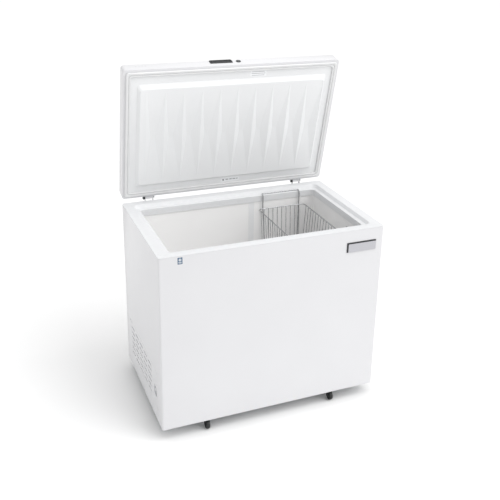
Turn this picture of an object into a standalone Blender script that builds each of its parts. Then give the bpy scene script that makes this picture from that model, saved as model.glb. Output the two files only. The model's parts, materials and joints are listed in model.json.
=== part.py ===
"""Chest freezer on casters, stored with its lid standing open, in metres, +Z up and the front facing -Y."""

import math

import bmesh
import bpy
from mathutils import Quaternion, Vector

# Driving dimensions
WIDTH = 0.940
DEPTH = 0.590
BODY_HEIGHT = 0.745
CASTER_HEIGHT = 0.052
FRAME_SHIFT_Y = -0.0264  # puts the middle of the whole object, open lid included, on the origin
GAP = 0.0003
SHEET = 0.001
CORNER_RADIUS = 0.007

# Heights of the cabinet
BOTTOM_Z = CASTER_HEIGHT
RIM_Z = BOTTOM_Z + BODY_HEIGHT
BASE_SHEET = 0.0012
FLOOR_Z = BOTTOM_Z + 0.066

# Insulated walls, measured inwards from the outer face
LEDGE_WIDTH = 0.038
INNER_LEDGE_DROP = 0.014
LINER_INSET = 0.0583
LIP_INSET = 0.062
FRAME_SKIN = 0.0025
LINER_TOP_Z = RIM_Z - INNER_LEDGE_DROP - FRAME_SKIN - GAP
INNER_RADIUS = 0.020

# Machine compartment under the step at the left end
BAY_RIGHT_X = -0.245
BAY_TOP_Z = BOTTOM_Z + 0.232
STEP_RIGHT_X = -0.190
STEP_TOP_Z = BOTTOM_Z + 0.288

# Refrigeration tubes buried in the walls
COIL_LOW_Z = BOTTOM_Z + 0.330
COIL_HIGH_Z = BOTTOM_Z + 0.690
EVAPORATOR_RADIUS = 0.004
EVAPORATOR_TURNS = 5
CONDENSER_RADIUS = 0.0025
CONDENSER_PASSES = 5

# Grille and thermostat in the left side
GRILLE_FRONT_Y = -0.232
GRILLE_REAR_Y = 0.212
GRILLE_LOW_Z = BOTTOM_Z + 0.056
GRILLE_HIGH_Z = BOTTOM_Z + 0.226
GRILLE_THICKNESS = 0.002
GRILLE_COLUMNS = 5
GRILLE_ROWS = 6
SLOT_LENGTH = 0.054
SLOT_HEIGHT = 0.006
SLOT_PITCH_Y = 0.071
SLOT_PITCH_Z = 0.0245
SLOT_MARGIN_Y = 0.012
SLOT_MARGIN_Z = 0.020
DIAL_Y = -0.196
DIAL_Z = BOTTOM_Z + 0.123
DIAL_CUP_RADIUS = 0.026
DIAL_CUP_DEPTH = 0.013
KNOB_RADIUS = 0.019
KNOB_STEM_RADIUS = 0.003

# Compressor set
COMPRESSOR_X = -0.358
COMPRESSOR_Y = 0.085
COMPRESSOR_RADIUS = 0.086
COMPRESSOR_HEIGHT = 0.165
GROMMET_HEIGHT = 0.012
GROMMET_RADIUS = 0.011
COMPRESSOR_PLATE_X = 0.078
COMPRESSOR_PLATE_Y = 0.105
DRIER_X = -0.285
DRIER_Y = -0.100
DRIER_Z = BOTTOM_Z + 0.045
DRIER_LENGTH = 0.100
CORD_X = -0.420
CORD_Z = BOTTOM_Z + 0.060
CORD_BORE_RADIUS = 0.0045
CORD_NECK_RADIUS = 0.009
CORD_FLANGE_RADIUS = 0.0125

# Lid, measured with the lid closed
LID_THICKNESS = 0.058
LID_LIFT = 0.008
LID_SIDE_INSET = 0.001
LID_FRONT_OVERHANG = 0.002
LID_REAR_INSET = 0.001
LID_EDGE_RADIUS = 0.008
LID_CORNER_RADIUS = 0.012
LID_FLANGE = 0.012
LID_OPEN_DEG = 77.0
PLUG_INSET = 0.050
PLUG_DEPTH = 0.012
PLUG_SLOPE = 0.013
PLUG_SKIN = 0.005
FLUTES = 10
FLUTE_DEPTH = 0.003
GASKET_INSET = 0.010
GASKET_WIDTH = 0.019

# Hinges behind the rim
HINGE_X = 0.350
HINGE_WIDTH = 0.036
HINGE_BACK = 0.007
HINGE_RISE = 0.012
HINGE_PIN_RADIUS = 0.003
KNUCKLE_RADIUS = 0.006
HINGE_SHEET = 0.0015
HOUSING_DEPTH = 0.022
HOUSING_LENGTH = 0.125
SPRING_TURNS = 7
SPRING_RADIUS = 0.0065
SPRING_WIRE = 0.0012

# Handle and lock in the lid's front edge
HANDLE_CENTRE_X = -0.058
HANDLE_LENGTH = 0.096
HANDLE_HEIGHT = 0.028
HANDLE_DEPTH = 0.017
LOCK_X = 0.0165
LOCK_RISE = 0.033
LOCK_RADIUS = 0.010
BARREL_RADIUS = 0.0065
LOCK_DEPTH = 0.024

# Badge on the front
BADGE_LEFT_X = 0.304
BADGE_RIGHT_X = 0.436
BADGE_LOW_Z = BOTTOM_Z + 0.650
BADGE_HIGH_Z = BOTTOM_Z + 0.692

# Casters
CASTER_X = 0.279
CASTER_INSET = 0.033
CASTER_TRAIL = 0.011
WHEEL_RADIUS = 0.020
WHEEL_WIDTH = 0.015
FORK_SHEET = 0.0022
AXLE_RADIUS = 0.0028
CASTER_PLATE_HALF = 0.019
CASTER_PLATE_SHEET = 0.002
CASTER_RACE_DROP = 0.006

# Wire basket hung at the right end
BASKET_LEFT_X = 0.129
BASKET_RIGHT_X = 0.359
BASKET_HALF_Y = 0.221
BASKET_TOP_Z = RIM_Z - 0.073
BASKET_HEIGHT = 0.195
BASKET_TAPER = 0.013
BASKET_WIRE = 0.003
BASKET_SIDE_BARS = 16
BASKET_END_BARS = 9
HANGER_RADIUS = 0.0028
HANGER_HALF_X = 0.090

# Drain at the right front of the floor
DRAIN_X = 0.300
DRAIN_Y = -0.150
DRAIN_TUBE_RADIUS = 0.008
DRAIN_BORE_RADIUS = 0.005


def clear_scene():
    for item in list(bpy.data.objects):
        bpy.data.objects.remove(item, do_unlink=True)


def material(name, colour, roughness, metallic=0.0):
    found = bpy.data.materials.get(name)
    if found:
        return found
    made = bpy.data.materials.new(name)
    made.use_nodes = True
    shader = made.node_tree.nodes["Principled BSDF"]
    shader.inputs["Base Color"].default_value = (*colour, 1.0)
    shader.inputs["Roughness"].default_value = roughness
    shader.inputs["Metallic"].default_value = metallic
    made.diffuse_color = (*colour, 1.0)
    return made


def white_enamel():
    return material("white_enamel", (0.83, 0.83, 0.84), 0.32)


def white_plastic():
    return material("white_plastic", (0.84, 0.85, 0.87), 0.45)


def black_plastic():
    return material("black_plastic", (0.02, 0.02, 0.022), 0.5)


def galvanised_steel():
    return material("galvanised_steel", (0.55, 0.56, 0.58), 0.42, 1.0)


def copper():
    return material("copper", (0.72, 0.35, 0.2), 0.35, 1.0)


def black_rubber():
    return material("black_rubber", (0.025, 0.025, 0.025), 0.8)


def foam_finish():
    return material("foam", (0.85, 0.78, 0.55), 0.9)


def chromed_wire():
    return material("chromed_wire", (0.55, 0.55, 0.56), 0.3, 1.0)


def empty(name, location, parent):
    point = bpy.data.objects.new(name, None)
    point.empty_display_size = 0.05
    point.location = location
    point.parent = parent
    bpy.context.collection.objects.link(point)
    return point


def add_object(name, mesh, parent, finish, location=(0, 0, 0)):
    item = bpy.data.objects.new(name, mesh)
    item.location = location
    item.parent = parent
    if finish:
        mesh.materials.append(finish)
    bpy.context.collection.objects.link(item)
    return item


def mesh_from(name, shape):
    bmesh.ops.recalc_face_normals(shape, faces=shape.faces)
    mesh = bpy.data.meshes.new(name)
    shape.to_mesh(mesh)
    shape.free()
    return mesh


def fill_box(shape, low, high):
    made = bmesh.ops.create_cube(shape, size=1.0)["verts"]
    for vert in made:
        for axis in range(3):
            vert.co[axis] = low[axis] if vert.co[axis] < 0 else high[axis]


def boxes(name, spans, parent, finish=None, location=(0, 0, 0)):
    """One mesh of plain boxes, each span a pair of opposite corners."""
    shape = bmesh.new()
    for low, high in spans:
        fill_box(shape, low, high)
    return add_object(name, mesh_from(name, shape), parent, finish, location)


def rounded_loop(low, high, radius, z, steps=3):
    """Points round a rectangle with rounded corners, counterclockwise at height z."""
    points = []
    corners = ((high[0], high[1], 0), (low[0], high[1], 1), (low[0], low[1], 2), (high[0], low[1], 3))
    for x, y, quarter in corners:
        centre_x = x - radius if x == high[0] else x + radius
        centre_y = y - radius if y == high[1] else y + radius
        for step in range(steps + 1):
            angle = math.pi / 2 * (quarter + step / steps)
            points.append((centre_x + radius * math.cos(angle), centre_y + radius * math.sin(angle), z))
    return points


def inset_loop(inset, z, radius):
    """The cabinet's outline drawn in by a distance."""
    half_x = WIDTH / 2 - inset
    half_y = DEPTH / 2 - inset
    return rounded_loop((-half_x, -half_y), (half_x, half_y), radius, z)


def loft(name, loops, parent, finish=None, ring=False):
    """Skins a list of equal loops; a ring joins last to first, otherwise both ends are capped."""
    shape = bmesh.new()
    rows = [[shape.verts.new(point) for point in loop] for loop in loops]
    pairs = list(zip(rows, rows[1:]))
    if ring:
        pairs.append((rows[-1], rows[0]))
    count = len(rows[0])
    for lower, upper in pairs:
        for i in range(count):
            j = (i + 1) % count
            shape.faces.new((lower[i], lower[j], upper[j], upper[i]))
    if not ring:
        shape.faces.new(rows[0])
        shape.faces.new(rows[-1])
    return add_object(name, mesh_from(name, shape), parent, finish)


def turned(name, profile, parent, finish=None, axis="Z", segments=24, location=(0, 0, 0)):
    """A solid of revolution; profile points are (radius, height), and a hollow one is closed on itself."""
    shape = bmesh.new()
    hollow = all(radius > 0 for radius, _ in profile)
    rows = []
    for radius, height in profile:
        row = []
        for i in range(segments if radius > 0 else 1):
            angle = 2 * math.pi * i / segments
            flat = (radius * math.cos(angle), radius * math.sin(angle))
            point = {"X": (height, *flat), "Y": (flat[1], height, flat[0]), "Z": (*flat, height)}[axis]
            row.append(shape.verts.new(point))
        rows.append(row)
    pairs = list(zip(rows, rows[1:]))
    if hollow:
        pairs.append((rows[-1], rows[0]))
    for lower, upper in pairs:
        for i in range(segments):
            j = (i + 1) % segments
            corners = [lower[k % len(lower)] for k in (i, j)] + [upper[k % len(upper)] for k in (j, i)]
            shape.faces.new(list(dict.fromkeys(corners)))
    return add_object(name, mesh_from(name, shape), parent, finish, location)


def extruded(name, outline, axis, low, high, parent, finish=None):
    """A flat outline pushed along one axis; outline points are the other two coordinates in X, Y, Z order."""
    shape = bmesh.new()

    def place(point, level):
        values = list(point)
        values.insert("XYZ".index(axis), level)
        return shape.verts.new(values)

    near = [place(point, low) for point in outline]
    far = [place(point, high) for point in outline]
    for i in range(len(outline)):
        j = (i + 1) % len(outline)
        shape.faces.new((near[i], near[j], far[j], far[i]))
    shape.faces.new(near)
    shape.faces.new(far)
    return add_object(name, mesh_from(name, shape), parent, finish)


def rounded_path(corners, radius, steps=3, closed=False):
    """Replaces each inner corner of a polyline with an arc."""
    points = [Vector(corner) for corner in corners]
    result = []
    for i, corner in enumerate(points):
        if not closed and i in (0, len(points) - 1):
            result.append(corner)
            continue
        before = (points[i - 1] - corner).normalized()
        after = (points[(i + 1) % len(points)] - corner).normalized()
        half = before.angle(after) / 2
        reach = radius / math.tan(half)
        middle = corner + (before + after).normalized() * (radius / math.sin(half))
        start = corner + before * reach - middle
        end = corner + after * reach - middle
        hinge_line = start.cross(end).normalized()
        sweep = start.angle(end)
        for step in range(steps + 1):
            turn = Quaternion(hinge_line, sweep * step / steps)
            result.append(middle + turn @ start)
    return result


def tube(name, points, radius, parent, finish, closed=False, sides=8):
    curve = bpy.data.curves.new(name, "CURVE")
    curve.dimensions = "3D"
    curve.bevel_depth = radius
    curve.bevel_resolution = sides // 2 - 2
    curve.use_fill_caps = not closed
    line = curve.splines.new("POLY")
    line.points.add(len(points) - 1)
    for slot, point in zip(line.points, points):
        slot.co = (*point, 1.0)
    line.use_cyclic_u = closed
    return add_object(name, curve, parent, finish)


def boolean(target, cutter, operation="DIFFERENCE"):
    cutter.hide_render = True
    cutter.display_type = "WIRE"
    step = target.modifiers.new(operation.lower(), "BOOLEAN")
    step.operation = operation
    step.solver = "EXACT"
    step.object = cutter


def cylinder_cut(target, name, centre, radius, half_length, axis, segments=24):
    profile = [(0, -half_length), (radius, -half_length), (radius, half_length), (0, half_length)]
    cutter = turned(name, profile, target.parent, axis=axis, segments=segments, location=centre)
    boolean(target, cutter)


def box_cut(target, name, spans):
    boolean(target, boxes(name, spans, target.parent))


def outer_wrapper(root):
    """Folded steel skin: four walls with a flange turned in under the rim."""
    inner = CORNER_RADIUS - SHEET
    top = RIM_Z - 0.003 - GAP
    loops = [
        inset_loop(0, BOTTOM_Z, CORNER_RADIUS),
        inset_loop(0, top, CORNER_RADIUS),
        inset_loop(0.018, top, CORNER_RADIUS),
        inset_loop(0.018, top - SHEET, CORNER_RADIUS),
        inset_loop(SHEET, top - SHEET, inner),
        inset_loop(SHEET, BOTTOM_Z, inner),
    ]
    wrapper = loft("outer_wrapper", loops, root, white_enamel(), ring=True)
    left = -WIDTH / 2
    margin = 2 * GAP
    low = (left - 0.01, GRILLE_FRONT_Y - margin, GRILLE_LOW_Z - margin)
    high = (left + 0.01, GRILLE_REAR_Y + margin, GRILLE_HIGH_Z + margin)
    box_cut(wrapper, "grille_window", [(low, high)])
    cord_hole = (CORD_X, DEPTH / 2, CORD_Z)
    cylinder_cut(wrapper, "cord_hole", cord_hole, CORD_NECK_RADIUS + GAP, 0.01, "Y", 16)


def base_plate(root):
    half_x = WIDTH / 2 - SHEET - GAP
    half_y = DEPTH / 2 - SHEET - GAP
    loops = [
        rounded_loop((-half_x, -half_y), (half_x, half_y), CORNER_RADIUS - SHEET, z)
        for z in (BOTTOM_Z, BOTTOM_Z + BASE_SHEET)
    ]
    plate = loft("base_plate", loops, root, galvanised_steel())
    drain_hole = (DRAIN_X, DRAIN_Y, BOTTOM_Z)
    cylinder_cut(plate, "base_drain_hole", drain_hole, DRAIN_TUBE_RADIUS + GAP, 0.01, "Z", 16)


def machine_bay_panel(root):
    """Folded sheet that keeps the foam out of the machine compartment."""
    left = -WIDTH / 2 + SHEET + GAP
    half_y = DEPTH / 2 - SHEET - GAP - 0.006
    low = BOTTOM_Z + BASE_SHEET + GAP
    outline = [
        (BAY_RIGHT_X, low),
        (BAY_RIGHT_X + SHEET, low),
        (BAY_RIGHT_X + SHEET, BAY_TOP_Z + SHEET),
        (left, BAY_TOP_Z + SHEET),
        (left, BAY_TOP_Z),
        (BAY_RIGHT_X, BAY_TOP_Z),
    ]
    extruded("machine_bay_panel", outline, "Y", -half_y, half_y, root, galvanised_steel())


def cabinet_foam(root):
    """Foamed-in insulation, shaped by the skin outside and the tub inside."""
    outer = SHEET + GAP
    coil_outer = outer + 2 * CONDENSER_RADIUS + 2 * GAP
    inner = LINER_INSET - GAP
    coil_inner = inner - 2 * EVAPORATOR_RADIUS - 2 * GAP
    low = BOTTOM_Z + BASE_SHEET + GAP
    top = LINER_TOP_Z - GAP
    edge = CORNER_RADIUS - SHEET
    loops = [
        inset_loop(outer, low, edge),
        inset_loop(outer, COIL_LOW_Z, edge),
        inset_loop(coil_outer, COIL_LOW_Z, edge),
        inset_loop(coil_outer, COIL_HIGH_Z, edge),
        inset_loop(outer, COIL_HIGH_Z, edge),
        inset_loop(outer, top, edge),
        inset_loop(inner, top, INNER_RADIUS),
        inset_loop(inner, COIL_HIGH_Z - 0.02, INNER_RADIUS),
        inset_loop(coil_inner, COIL_HIGH_Z - 0.02, INNER_RADIUS),
        inset_loop(coil_inner, COIL_LOW_Z + 0.01, INNER_RADIUS),
        inset_loop(inner, COIL_LOW_Z + 0.01, INNER_RADIUS),
        inset_loop(inner, FLOOR_Z - SHEET - GAP, INNER_RADIUS),
    ]
    foam = loft("cabinet_foam", loops, root, foam_finish())
    step_low = (-WIDTH / 2 + 0.03, -DEPTH / 2 + 0.03, BOTTOM_Z + 0.03)
    step_high = (STEP_RIGHT_X - SHEET - GAP, DEPTH / 2 - 0.03, STEP_TOP_Z - SHEET - GAP)
    boolean(foam, boxes("foam_step", [(step_low, step_high)], root), "UNION")
    bay_low = (-WIDTH / 2 - 0.01, -DEPTH / 2 - 0.01, BOTTOM_Z - 0.01)
    bay_high = (BAY_RIGHT_X + SHEET + GAP, DEPTH / 2 + 0.01, BAY_TOP_Z + SHEET + GAP)
    box_cut(foam, "foam_bay", [(bay_low, bay_high)])
    cylinder_cut(foam, "foam_drain_hole", (DRAIN_X, DRAIN_Y, BOTTOM_Z), DRAIN_TUBE_RADIUS + GAP, 0.1, "Z", 16)


def stepped_block(name, inset, floor, top, step_x, step_z, root, finish=None):
    """A rounded block whose lower left end is cut away by the step over the machine compartment."""
    loops = [inset_loop(inset, z, INNER_RADIUS) for z in (floor, top)]
    block = loft(name, loops, root, finish)
    low = (-WIDTH, -DEPTH, floor - 0.05)
    high = (step_x, DEPTH, step_z)
    box_cut(block, name + "_step", [(low, high)])
    return block


def inner_liner(root):
    enamel = material("liner_enamel", (0.8, 0.81, 0.83), 0.4)
    step_x = STEP_RIGHT_X - SHEET
    step_z = STEP_TOP_Z - SHEET
    floor = FLOOR_Z - SHEET
    liner = stepped_block("inner_liner", LINER_INSET, floor, LINER_TOP_Z, step_x, step_z, root, enamel)
    hollow = stepped_block(
        "liner_hollow", LINER_INSET + SHEET, FLOOR_Z, LINER_TOP_Z + 0.02, STEP_RIGHT_X, STEP_TOP_Z, root
    )
    boolean(liner, hollow)
    drain_hole = (DRAIN_X, DRAIN_Y, FLOOR_Z)
    cylinder_cut(liner, "liner_drain_hole", drain_hole, DRAIN_TUBE_RADIUS + GAP, 0.01, "Z", 16)


def breaker_frame(root):
    """Moulded rim: a flat ledge for the gasket, a step down to the basket ledge, and a lip inside the tub."""
    ledge = RIM_Z - INNER_LEDGE_DROP
    profile = [
        (0.0, RIM_Z, CORNER_RADIUS),
        (LEDGE_WIDTH, RIM_Z, 0.022),
        (LEDGE_WIDTH + 0.006, ledge, 0.024),
        (LIP_INSET - 0.002, ledge, INNER_RADIUS),
        (LIP_INSET, ledge - 0.002, INNER_RADIUS),
        (LIP_INSET, ledge - 0.030, INNER_RADIUS),
        (LINER_INSET + SHEET + GAP, ledge - 0.030, INNER_RADIUS),
        (LINER_INSET + SHEET + GAP, ledge - FRAME_SKIN, INNER_RADIUS),
        (LEDGE_WIDTH + 0.003, ledge - FRAME_SKIN, 0.024),
        (LEDGE_WIDTH - 0.002, RIM_Z - 0.003, 0.022),
        (0.0, RIM_Z - 0.003, CORNER_RADIUS),
    ]
    loops = [inset_loop(inset, z, radius) for inset, z, radius in profile]
    loft("breaker_frame", loops, root, white_plastic(), ring=True)


def evaporator_coil(root):
    """Copper tube wound round the tub, rising along the right end."""
    off = LINER_INSET - GAP - EVAPORATOR_RADIUS - GAP
    half_x = WIDTH / 2 - off
    half_y = DEPTH / 2 - off
    start_z = COIL_LOW_Z + 0.030
    pitch = (COIL_HIGH_Z - 0.05 - start_z) / EVAPORATOR_TURNS
    corners = [(0.05, half_y, start_z)]
    for turn in range(EVAPORATOR_TURNS):
        z = start_z + turn * pitch
        corners += [
            (-half_x, half_y, z),
            (-half_x, -half_y, z),
            (half_x, -half_y, z),
            (half_x, half_y, z + pitch),
        ]
    corners.append((0.05, half_y, start_z + EVAPORATOR_TURNS * pitch))
    tube("evaporator_coil", rounded_path(corners, 0.020, 2), EVAPORATOR_RADIUS, root, copper(), sides=6)


def condenser_coil(root):
    """Steel tube against the outer skin, passing back and forth over the back, right and front walls."""
    off = SHEET + GAP + CONDENSER_RADIUS + GAP
    half_x = WIDTH / 2 - off
    half_y = DEPTH / 2 - off
    pitch = (COIL_HIGH_Z - COIL_LOW_Z - 0.04) / (CONDENSER_PASSES - 1)
    corners = []
    for run in range(CONDENSER_PASSES):
        z = COIL_LOW_Z + 0.02 + run * pitch
        loop = [(-0.40, half_y, z), (half_x, half_y, z), (half_x, -half_y, z), (-0.40, -half_y, z)]
        corners += loop if run % 2 == 0 else loop[::-1]
    steel = material("condenser_steel", (0.35, 0.36, 0.38), 0.5, 1.0)
    tube("condenser_coil", rounded_path(corners, 0.006, 2), CONDENSER_RADIUS, root, steel, sides=6)


def compressor(root):
    """Hermetic compressor on its sprung feet in the machine compartment."""
    base = BOTTOM_Z + BASE_SHEET + GAP
    plate_z = base + GROMMET_HEIGHT + GAP
    shell_z = plate_z + 0.0025 + GAP
    half_x = COMPRESSOR_PLATE_X
    half_y = COMPRESSOR_PLATE_Y
    black = material("compressor_black", (0.03, 0.03, 0.032), 0.42)
    for i, (sx, sy) in enumerate(((-1, -1), (1, -1), (1, 1), (-1, 1))):
        centre = (COMPRESSOR_X + sx * (half_x - 0.014), COMPRESSOR_Y + sy * (half_y - 0.014), base)
        profile = [(0, 0), (GROMMET_RADIUS, 0), (GROMMET_RADIUS, GROMMET_HEIGHT), (0, GROMMET_HEIGHT)]
        turned(f"compressor_grommet_{i + 1}", profile, root, black_rubber(), segments=12, location=centre)
    low = (COMPRESSOR_X - half_x, COMPRESSOR_Y - half_y)
    high = (COMPRESSOR_X + half_x, COMPRESSOR_Y + half_y)
    loops = [rounded_loop(low, high, 0.012, z, 2) for z in (plate_z, plate_z + 0.0025)]
    loft("compressor_plate", loops, root, galvanised_steel())
    seam = 0.58 * COMPRESSOR_HEIGHT
    profile = [
        (0, 0),
        (0.62 * COMPRESSOR_RADIUS, 0.0),
        (0.9 * COMPRESSOR_RADIUS, 0.1 * COMPRESSOR_HEIGHT),
        (0.96 * COMPRESSOR_RADIUS, 0.3 * COMPRESSOR_HEIGHT),
        (0.96 * COMPRESSOR_RADIUS, seam),
        (COMPRESSOR_RADIUS, seam),
        (COMPRESSOR_RADIUS, seam + 0.006),
        (0.94 * COMPRESSOR_RADIUS, seam + 0.006),
        (0.86 * COMPRESSOR_RADIUS, 0.82 * COMPRESSOR_HEIGHT),
        (0.6 * COMPRESSOR_RADIUS, 0.95 * COMPRESSOR_HEIGHT),
        (0, COMPRESSOR_HEIGHT),
    ]
    place = (COMPRESSOR_X, COMPRESSOR_Y, shell_z)
    turned("compressor_shell", profile, root, black, segments=24, location=place)
    front = COMPRESSOR_Y - COMPRESSOR_RADIUS - GAP
    cover_low = (COMPRESSOR_X - 0.03, front - 0.036, shell_z + 0.045)
    cover_high = (COMPRESSOR_X + 0.03, front, shell_z + 0.115)
    boxes("relay_cover", [(cover_low, cover_high)], root, black_plastic())


def filter_drier(root):
    neck = 0.003
    body = 0.009
    shoulder = 0.014
    profile = [
        (0, 0),
        (neck, 0),
        (body, shoulder),
        (body, DRIER_LENGTH - shoulder),
        (neck, DRIER_LENGTH),
        (0, DRIER_LENGTH),
    ]
    turned("filter_drier", profile, root, copper(), segments=12, location=(DRIER_X, DRIER_Y, DRIER_Z))


def machine_tubes(root):
    """Discharge line from the compressor to the drier, and suction line up to the evaporator."""
    top = BOTTOM_Z + 0.165
    side_x = COMPRESSOR_X + COMPRESSOR_RADIUS + 0.006
    discharge = [
        (side_x, COMPRESSOR_Y - 0.02, BOTTOM_Z + 0.060),
        (side_x, COMPRESSOR_Y - 0.02, top),
        (DRIER_X, DRIER_Y, top + 0.004),
        (DRIER_X, DRIER_Y, DRIER_Z + DRIER_LENGTH + 2 * GAP),
    ]
    tube("discharge_tube", rounded_path(discharge, 0.012), 0.003, root, copper())
    suction = [
        (side_x, COMPRESSOR_Y + 0.03, BOTTOM_Z + 0.090),
        (side_x, COMPRESSOR_Y + 0.03, BOTTOM_Z + 0.200),
        (side_x - 0.060, COMPRESSOR_Y + 0.10, BOTTOM_Z + 0.205),
        (side_x - 0.060, COMPRESSOR_Y + 0.10, BAY_TOP_Z - 2 * GAP),
    ]
    tube("suction_tube", rounded_path(suction, 0.010), 0.004, root, copper())


def machine_grille(root):
    """Slotted panel set flush into the left side, with the thermostat's round hole near the front."""
    left = -WIDTH / 2
    low = (left, GRILLE_FRONT_Y, GRILLE_LOW_Z)
    high = (left + GRILLE_THICKNESS, GRILLE_REAR_Y, GRILLE_HIGH_Z)
    grille = boxes("machine_grille", [(low, high)], root, white_enamel())
    first_y = GRILLE_REAR_Y - SLOT_MARGIN_Y - SLOT_LENGTH
    first_z = GRILLE_LOW_Z + SLOT_MARGIN_Z
    spans = []
    for column in range(GRILLE_COLUMNS):
        for row in range(GRILLE_ROWS):
            y = first_y - column * SLOT_PITCH_Y
            z = first_z + row * SLOT_PITCH_Z
            spans.append(((left - 0.01, y, z), (left + 0.01, y + SLOT_LENGTH, z + SLOT_HEIGHT)))
    box_cut(grille, "grille_slots", spans)
    cylinder_cut(grille, "dial_hole", (left, DIAL_Y, DIAL_Z), DIAL_CUP_RADIUS + GAP, 0.01, "X", 24)


def thermostat(root):
    """Recessed dial: a cup in the grille, a knob that turns in it, and the switch body behind."""
    left = -WIDTH / 2
    bore = KNOB_STEM_RADIUS + GAP
    wall = 0.0015
    cup = [
        (DIAL_CUP_RADIUS, 0.0),
        (DIAL_CUP_RADIUS, DIAL_CUP_DEPTH),
        (bore, DIAL_CUP_DEPTH),
        (bore, DIAL_CUP_DEPTH - wall),
        (DIAL_CUP_RADIUS - wall, DIAL_CUP_DEPTH - wall),
        (DIAL_CUP_RADIUS - wall, 0.0),
    ]
    centre = (left, DIAL_Y, DIAL_Z)
    turned("dial_cup", cup, root, white_plastic(), axis="X", segments=24, location=centre)
    back = DIAL_CUP_DEPTH - wall - GAP
    stem_end = DIAL_CUP_DEPTH + 0.008
    knob = [
        (0, 0.0005),
        (KNOB_RADIUS - 0.001, 0.0005),
        (KNOB_RADIUS, 0.002),
        (KNOB_RADIUS, back),
        (KNOB_STEM_RADIUS, back),
        (KNOB_STEM_RADIUS, stem_end),
        (0, stem_end),
    ]
    turned("thermostat_knob", knob, root, white_plastic(), axis="X", segments=24, location=centre)
    low = (left + DIAL_CUP_DEPTH + GAP, DIAL_Y - 0.02, DIAL_Z - 0.016)
    high = (left + DIAL_CUP_DEPTH + 0.032, DIAL_Y + 0.02, DIAL_Z + 0.016)
    body = boxes("thermostat_body", [(low, high)], root, galvanised_steel())
    cylinder_cut(body, "stem_socket", (left + DIAL_CUP_DEPTH, DIAL_Y, DIAL_Z), bore, 0.009, "X", 16)


def name_plate(root):
    """Blank badge: a dark back plate with a lighter face set low and to the right on it."""
    front = -DEPTH / 2 - GAP
    back_low = (BADGE_LEFT_X, front - 0.0018, BADGE_LOW_Z)
    back_high = (BADGE_RIGHT_X, front, BADGE_HIGH_Z)
    boxes("name_plate_back", [(back_low, back_high)], root, black_plastic())
    face_low = (BADGE_LEFT_X + 0.0065, front - 0.0033, BADGE_LOW_Z + 0.0005)
    face_high = (BADGE_RIGHT_X - 0.0005, front - 0.0018 - GAP, BADGE_HIGH_Z - 0.006)
    silver = material("silver_plate", (0.42, 0.42, 0.44), 0.35, 0.6)
    boxes("name_plate_face", [(face_low, face_high)], root, silver)


def cord_grommet(root):
    """Rubber bush where a power cord enters the machine compartment."""
    groove_outer = 0.0004
    groove_inner = -SHEET - 0.0004
    profile = [
        (CORD_BORE_RADIUS, 0.004),
        (CORD_FLANGE_RADIUS, 0.004),
        (CORD_FLANGE_RADIUS, groove_outer),
        (CORD_NECK_RADIUS, groove_outer),
        (CORD_NECK_RADIUS, groove_inner),
        (CORD_FLANGE_RADIUS, groove_inner),
        (CORD_FLANGE_RADIUS, -0.005),
        (CORD_BORE_RADIUS, -0.005),
    ]
    place = (CORD_X, DEPTH / 2, CORD_Z)
    turned("cord_grommet", profile, root, black_rubber(), axis="Y", segments=16, location=place)


def drain(root):
    """Flanged tube through the floor, and the plug that lifts out of it."""
    flange_top = 0.002
    tube_end = BOTTOM_Z - 0.005 - FLOOR_Z
    fitting = [
        (DRAIN_BORE_RADIUS, flange_top),
        (0.016, flange_top),
        (0.017, GAP),
        (DRAIN_TUBE_RADIUS, GAP),
        (DRAIN_TUBE_RADIUS, tube_end),
        (DRAIN_BORE_RADIUS, tube_end),
    ]
    place = (DRAIN_X, DRAIN_Y, FLOOR_Z)
    turned("drain_fitting", fitting, root, white_plastic(), segments=16, location=place)
    stem = DRAIN_BORE_RADIUS - GAP
    plug = [
        (0, 0.008),
        (0.009, 0.008),
        (0.011, 0.006),
        (0.011, flange_top + GAP),
        (stem, flange_top + GAP),
        (stem, -0.016),
        (0, -0.016),
    ]
    turned("drain_plug", plug, root, white_plastic(), segments=16, location=place)


def caster_plate(label, pivot):
    """Square plate under the cabinet with the swivel race below it."""
    top = BOTTOM_Z - GAP
    half = CASTER_PLATE_HALF
    loops = [rounded_loop((-half, -half), (half, half), 0.004, z, 2) for z in (top - CASTER_PLATE_SHEET, top)]
    plate = loft(f"caster_plate_{label}", loops, pivot, galvanised_steel())
    low = top - CASTER_RACE_DROP
    profile = [(0, low), (0.012, low), (0.013, top - 0.001), (0, top - 0.001)]
    boolean(plate, turned(f"caster_race_{label}", profile, pivot, segments=12), "UNION")


def caster_fork(label, hub, pivot):
    """Trailing fork with the axle across its legs."""
    crown_top = BOTTOM_Z - GAP - CASTER_RACE_DROP - GAP
    crown_low = crown_top - 0.003
    inner = WHEEL_WIDTH / 2 + 2 * GAP
    outer = inner + FORK_SHEET
    leg = [
        (0.012, crown_top),
        (0.012, crown_low - 0.002),
        (-CASTER_TRAIL + 0.006, WHEEL_RADIUS - 0.004),
        (-CASTER_TRAIL, WHEEL_RADIUS - 0.007),
        (-CASTER_TRAIL - 0.006, WHEEL_RADIUS - 0.004),
        (-CASTER_TRAIL - 0.006, WHEEL_RADIUS + 0.004),
        (-0.013, crown_top),
    ]
    fork = extruded(f"caster_fork_{label}", leg, "X", -outer, outer, pivot, black_plastic())
    wheel_room = ((-inner, -0.05, -0.01), (inner, 0.05, crown_low))
    box_cut(fork, f"caster_wheel_room_{label}", [wheel_room])
    end = outer + 0.0008
    profile = [(0, -end), (AXLE_RADIUS, -end), (AXLE_RADIUS, end), (0, end)]
    axle = turned(f"caster_axle_{label}", profile, pivot, axis="X", segments=12, location=hub)
    boolean(fork, axle, "UNION")


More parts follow.
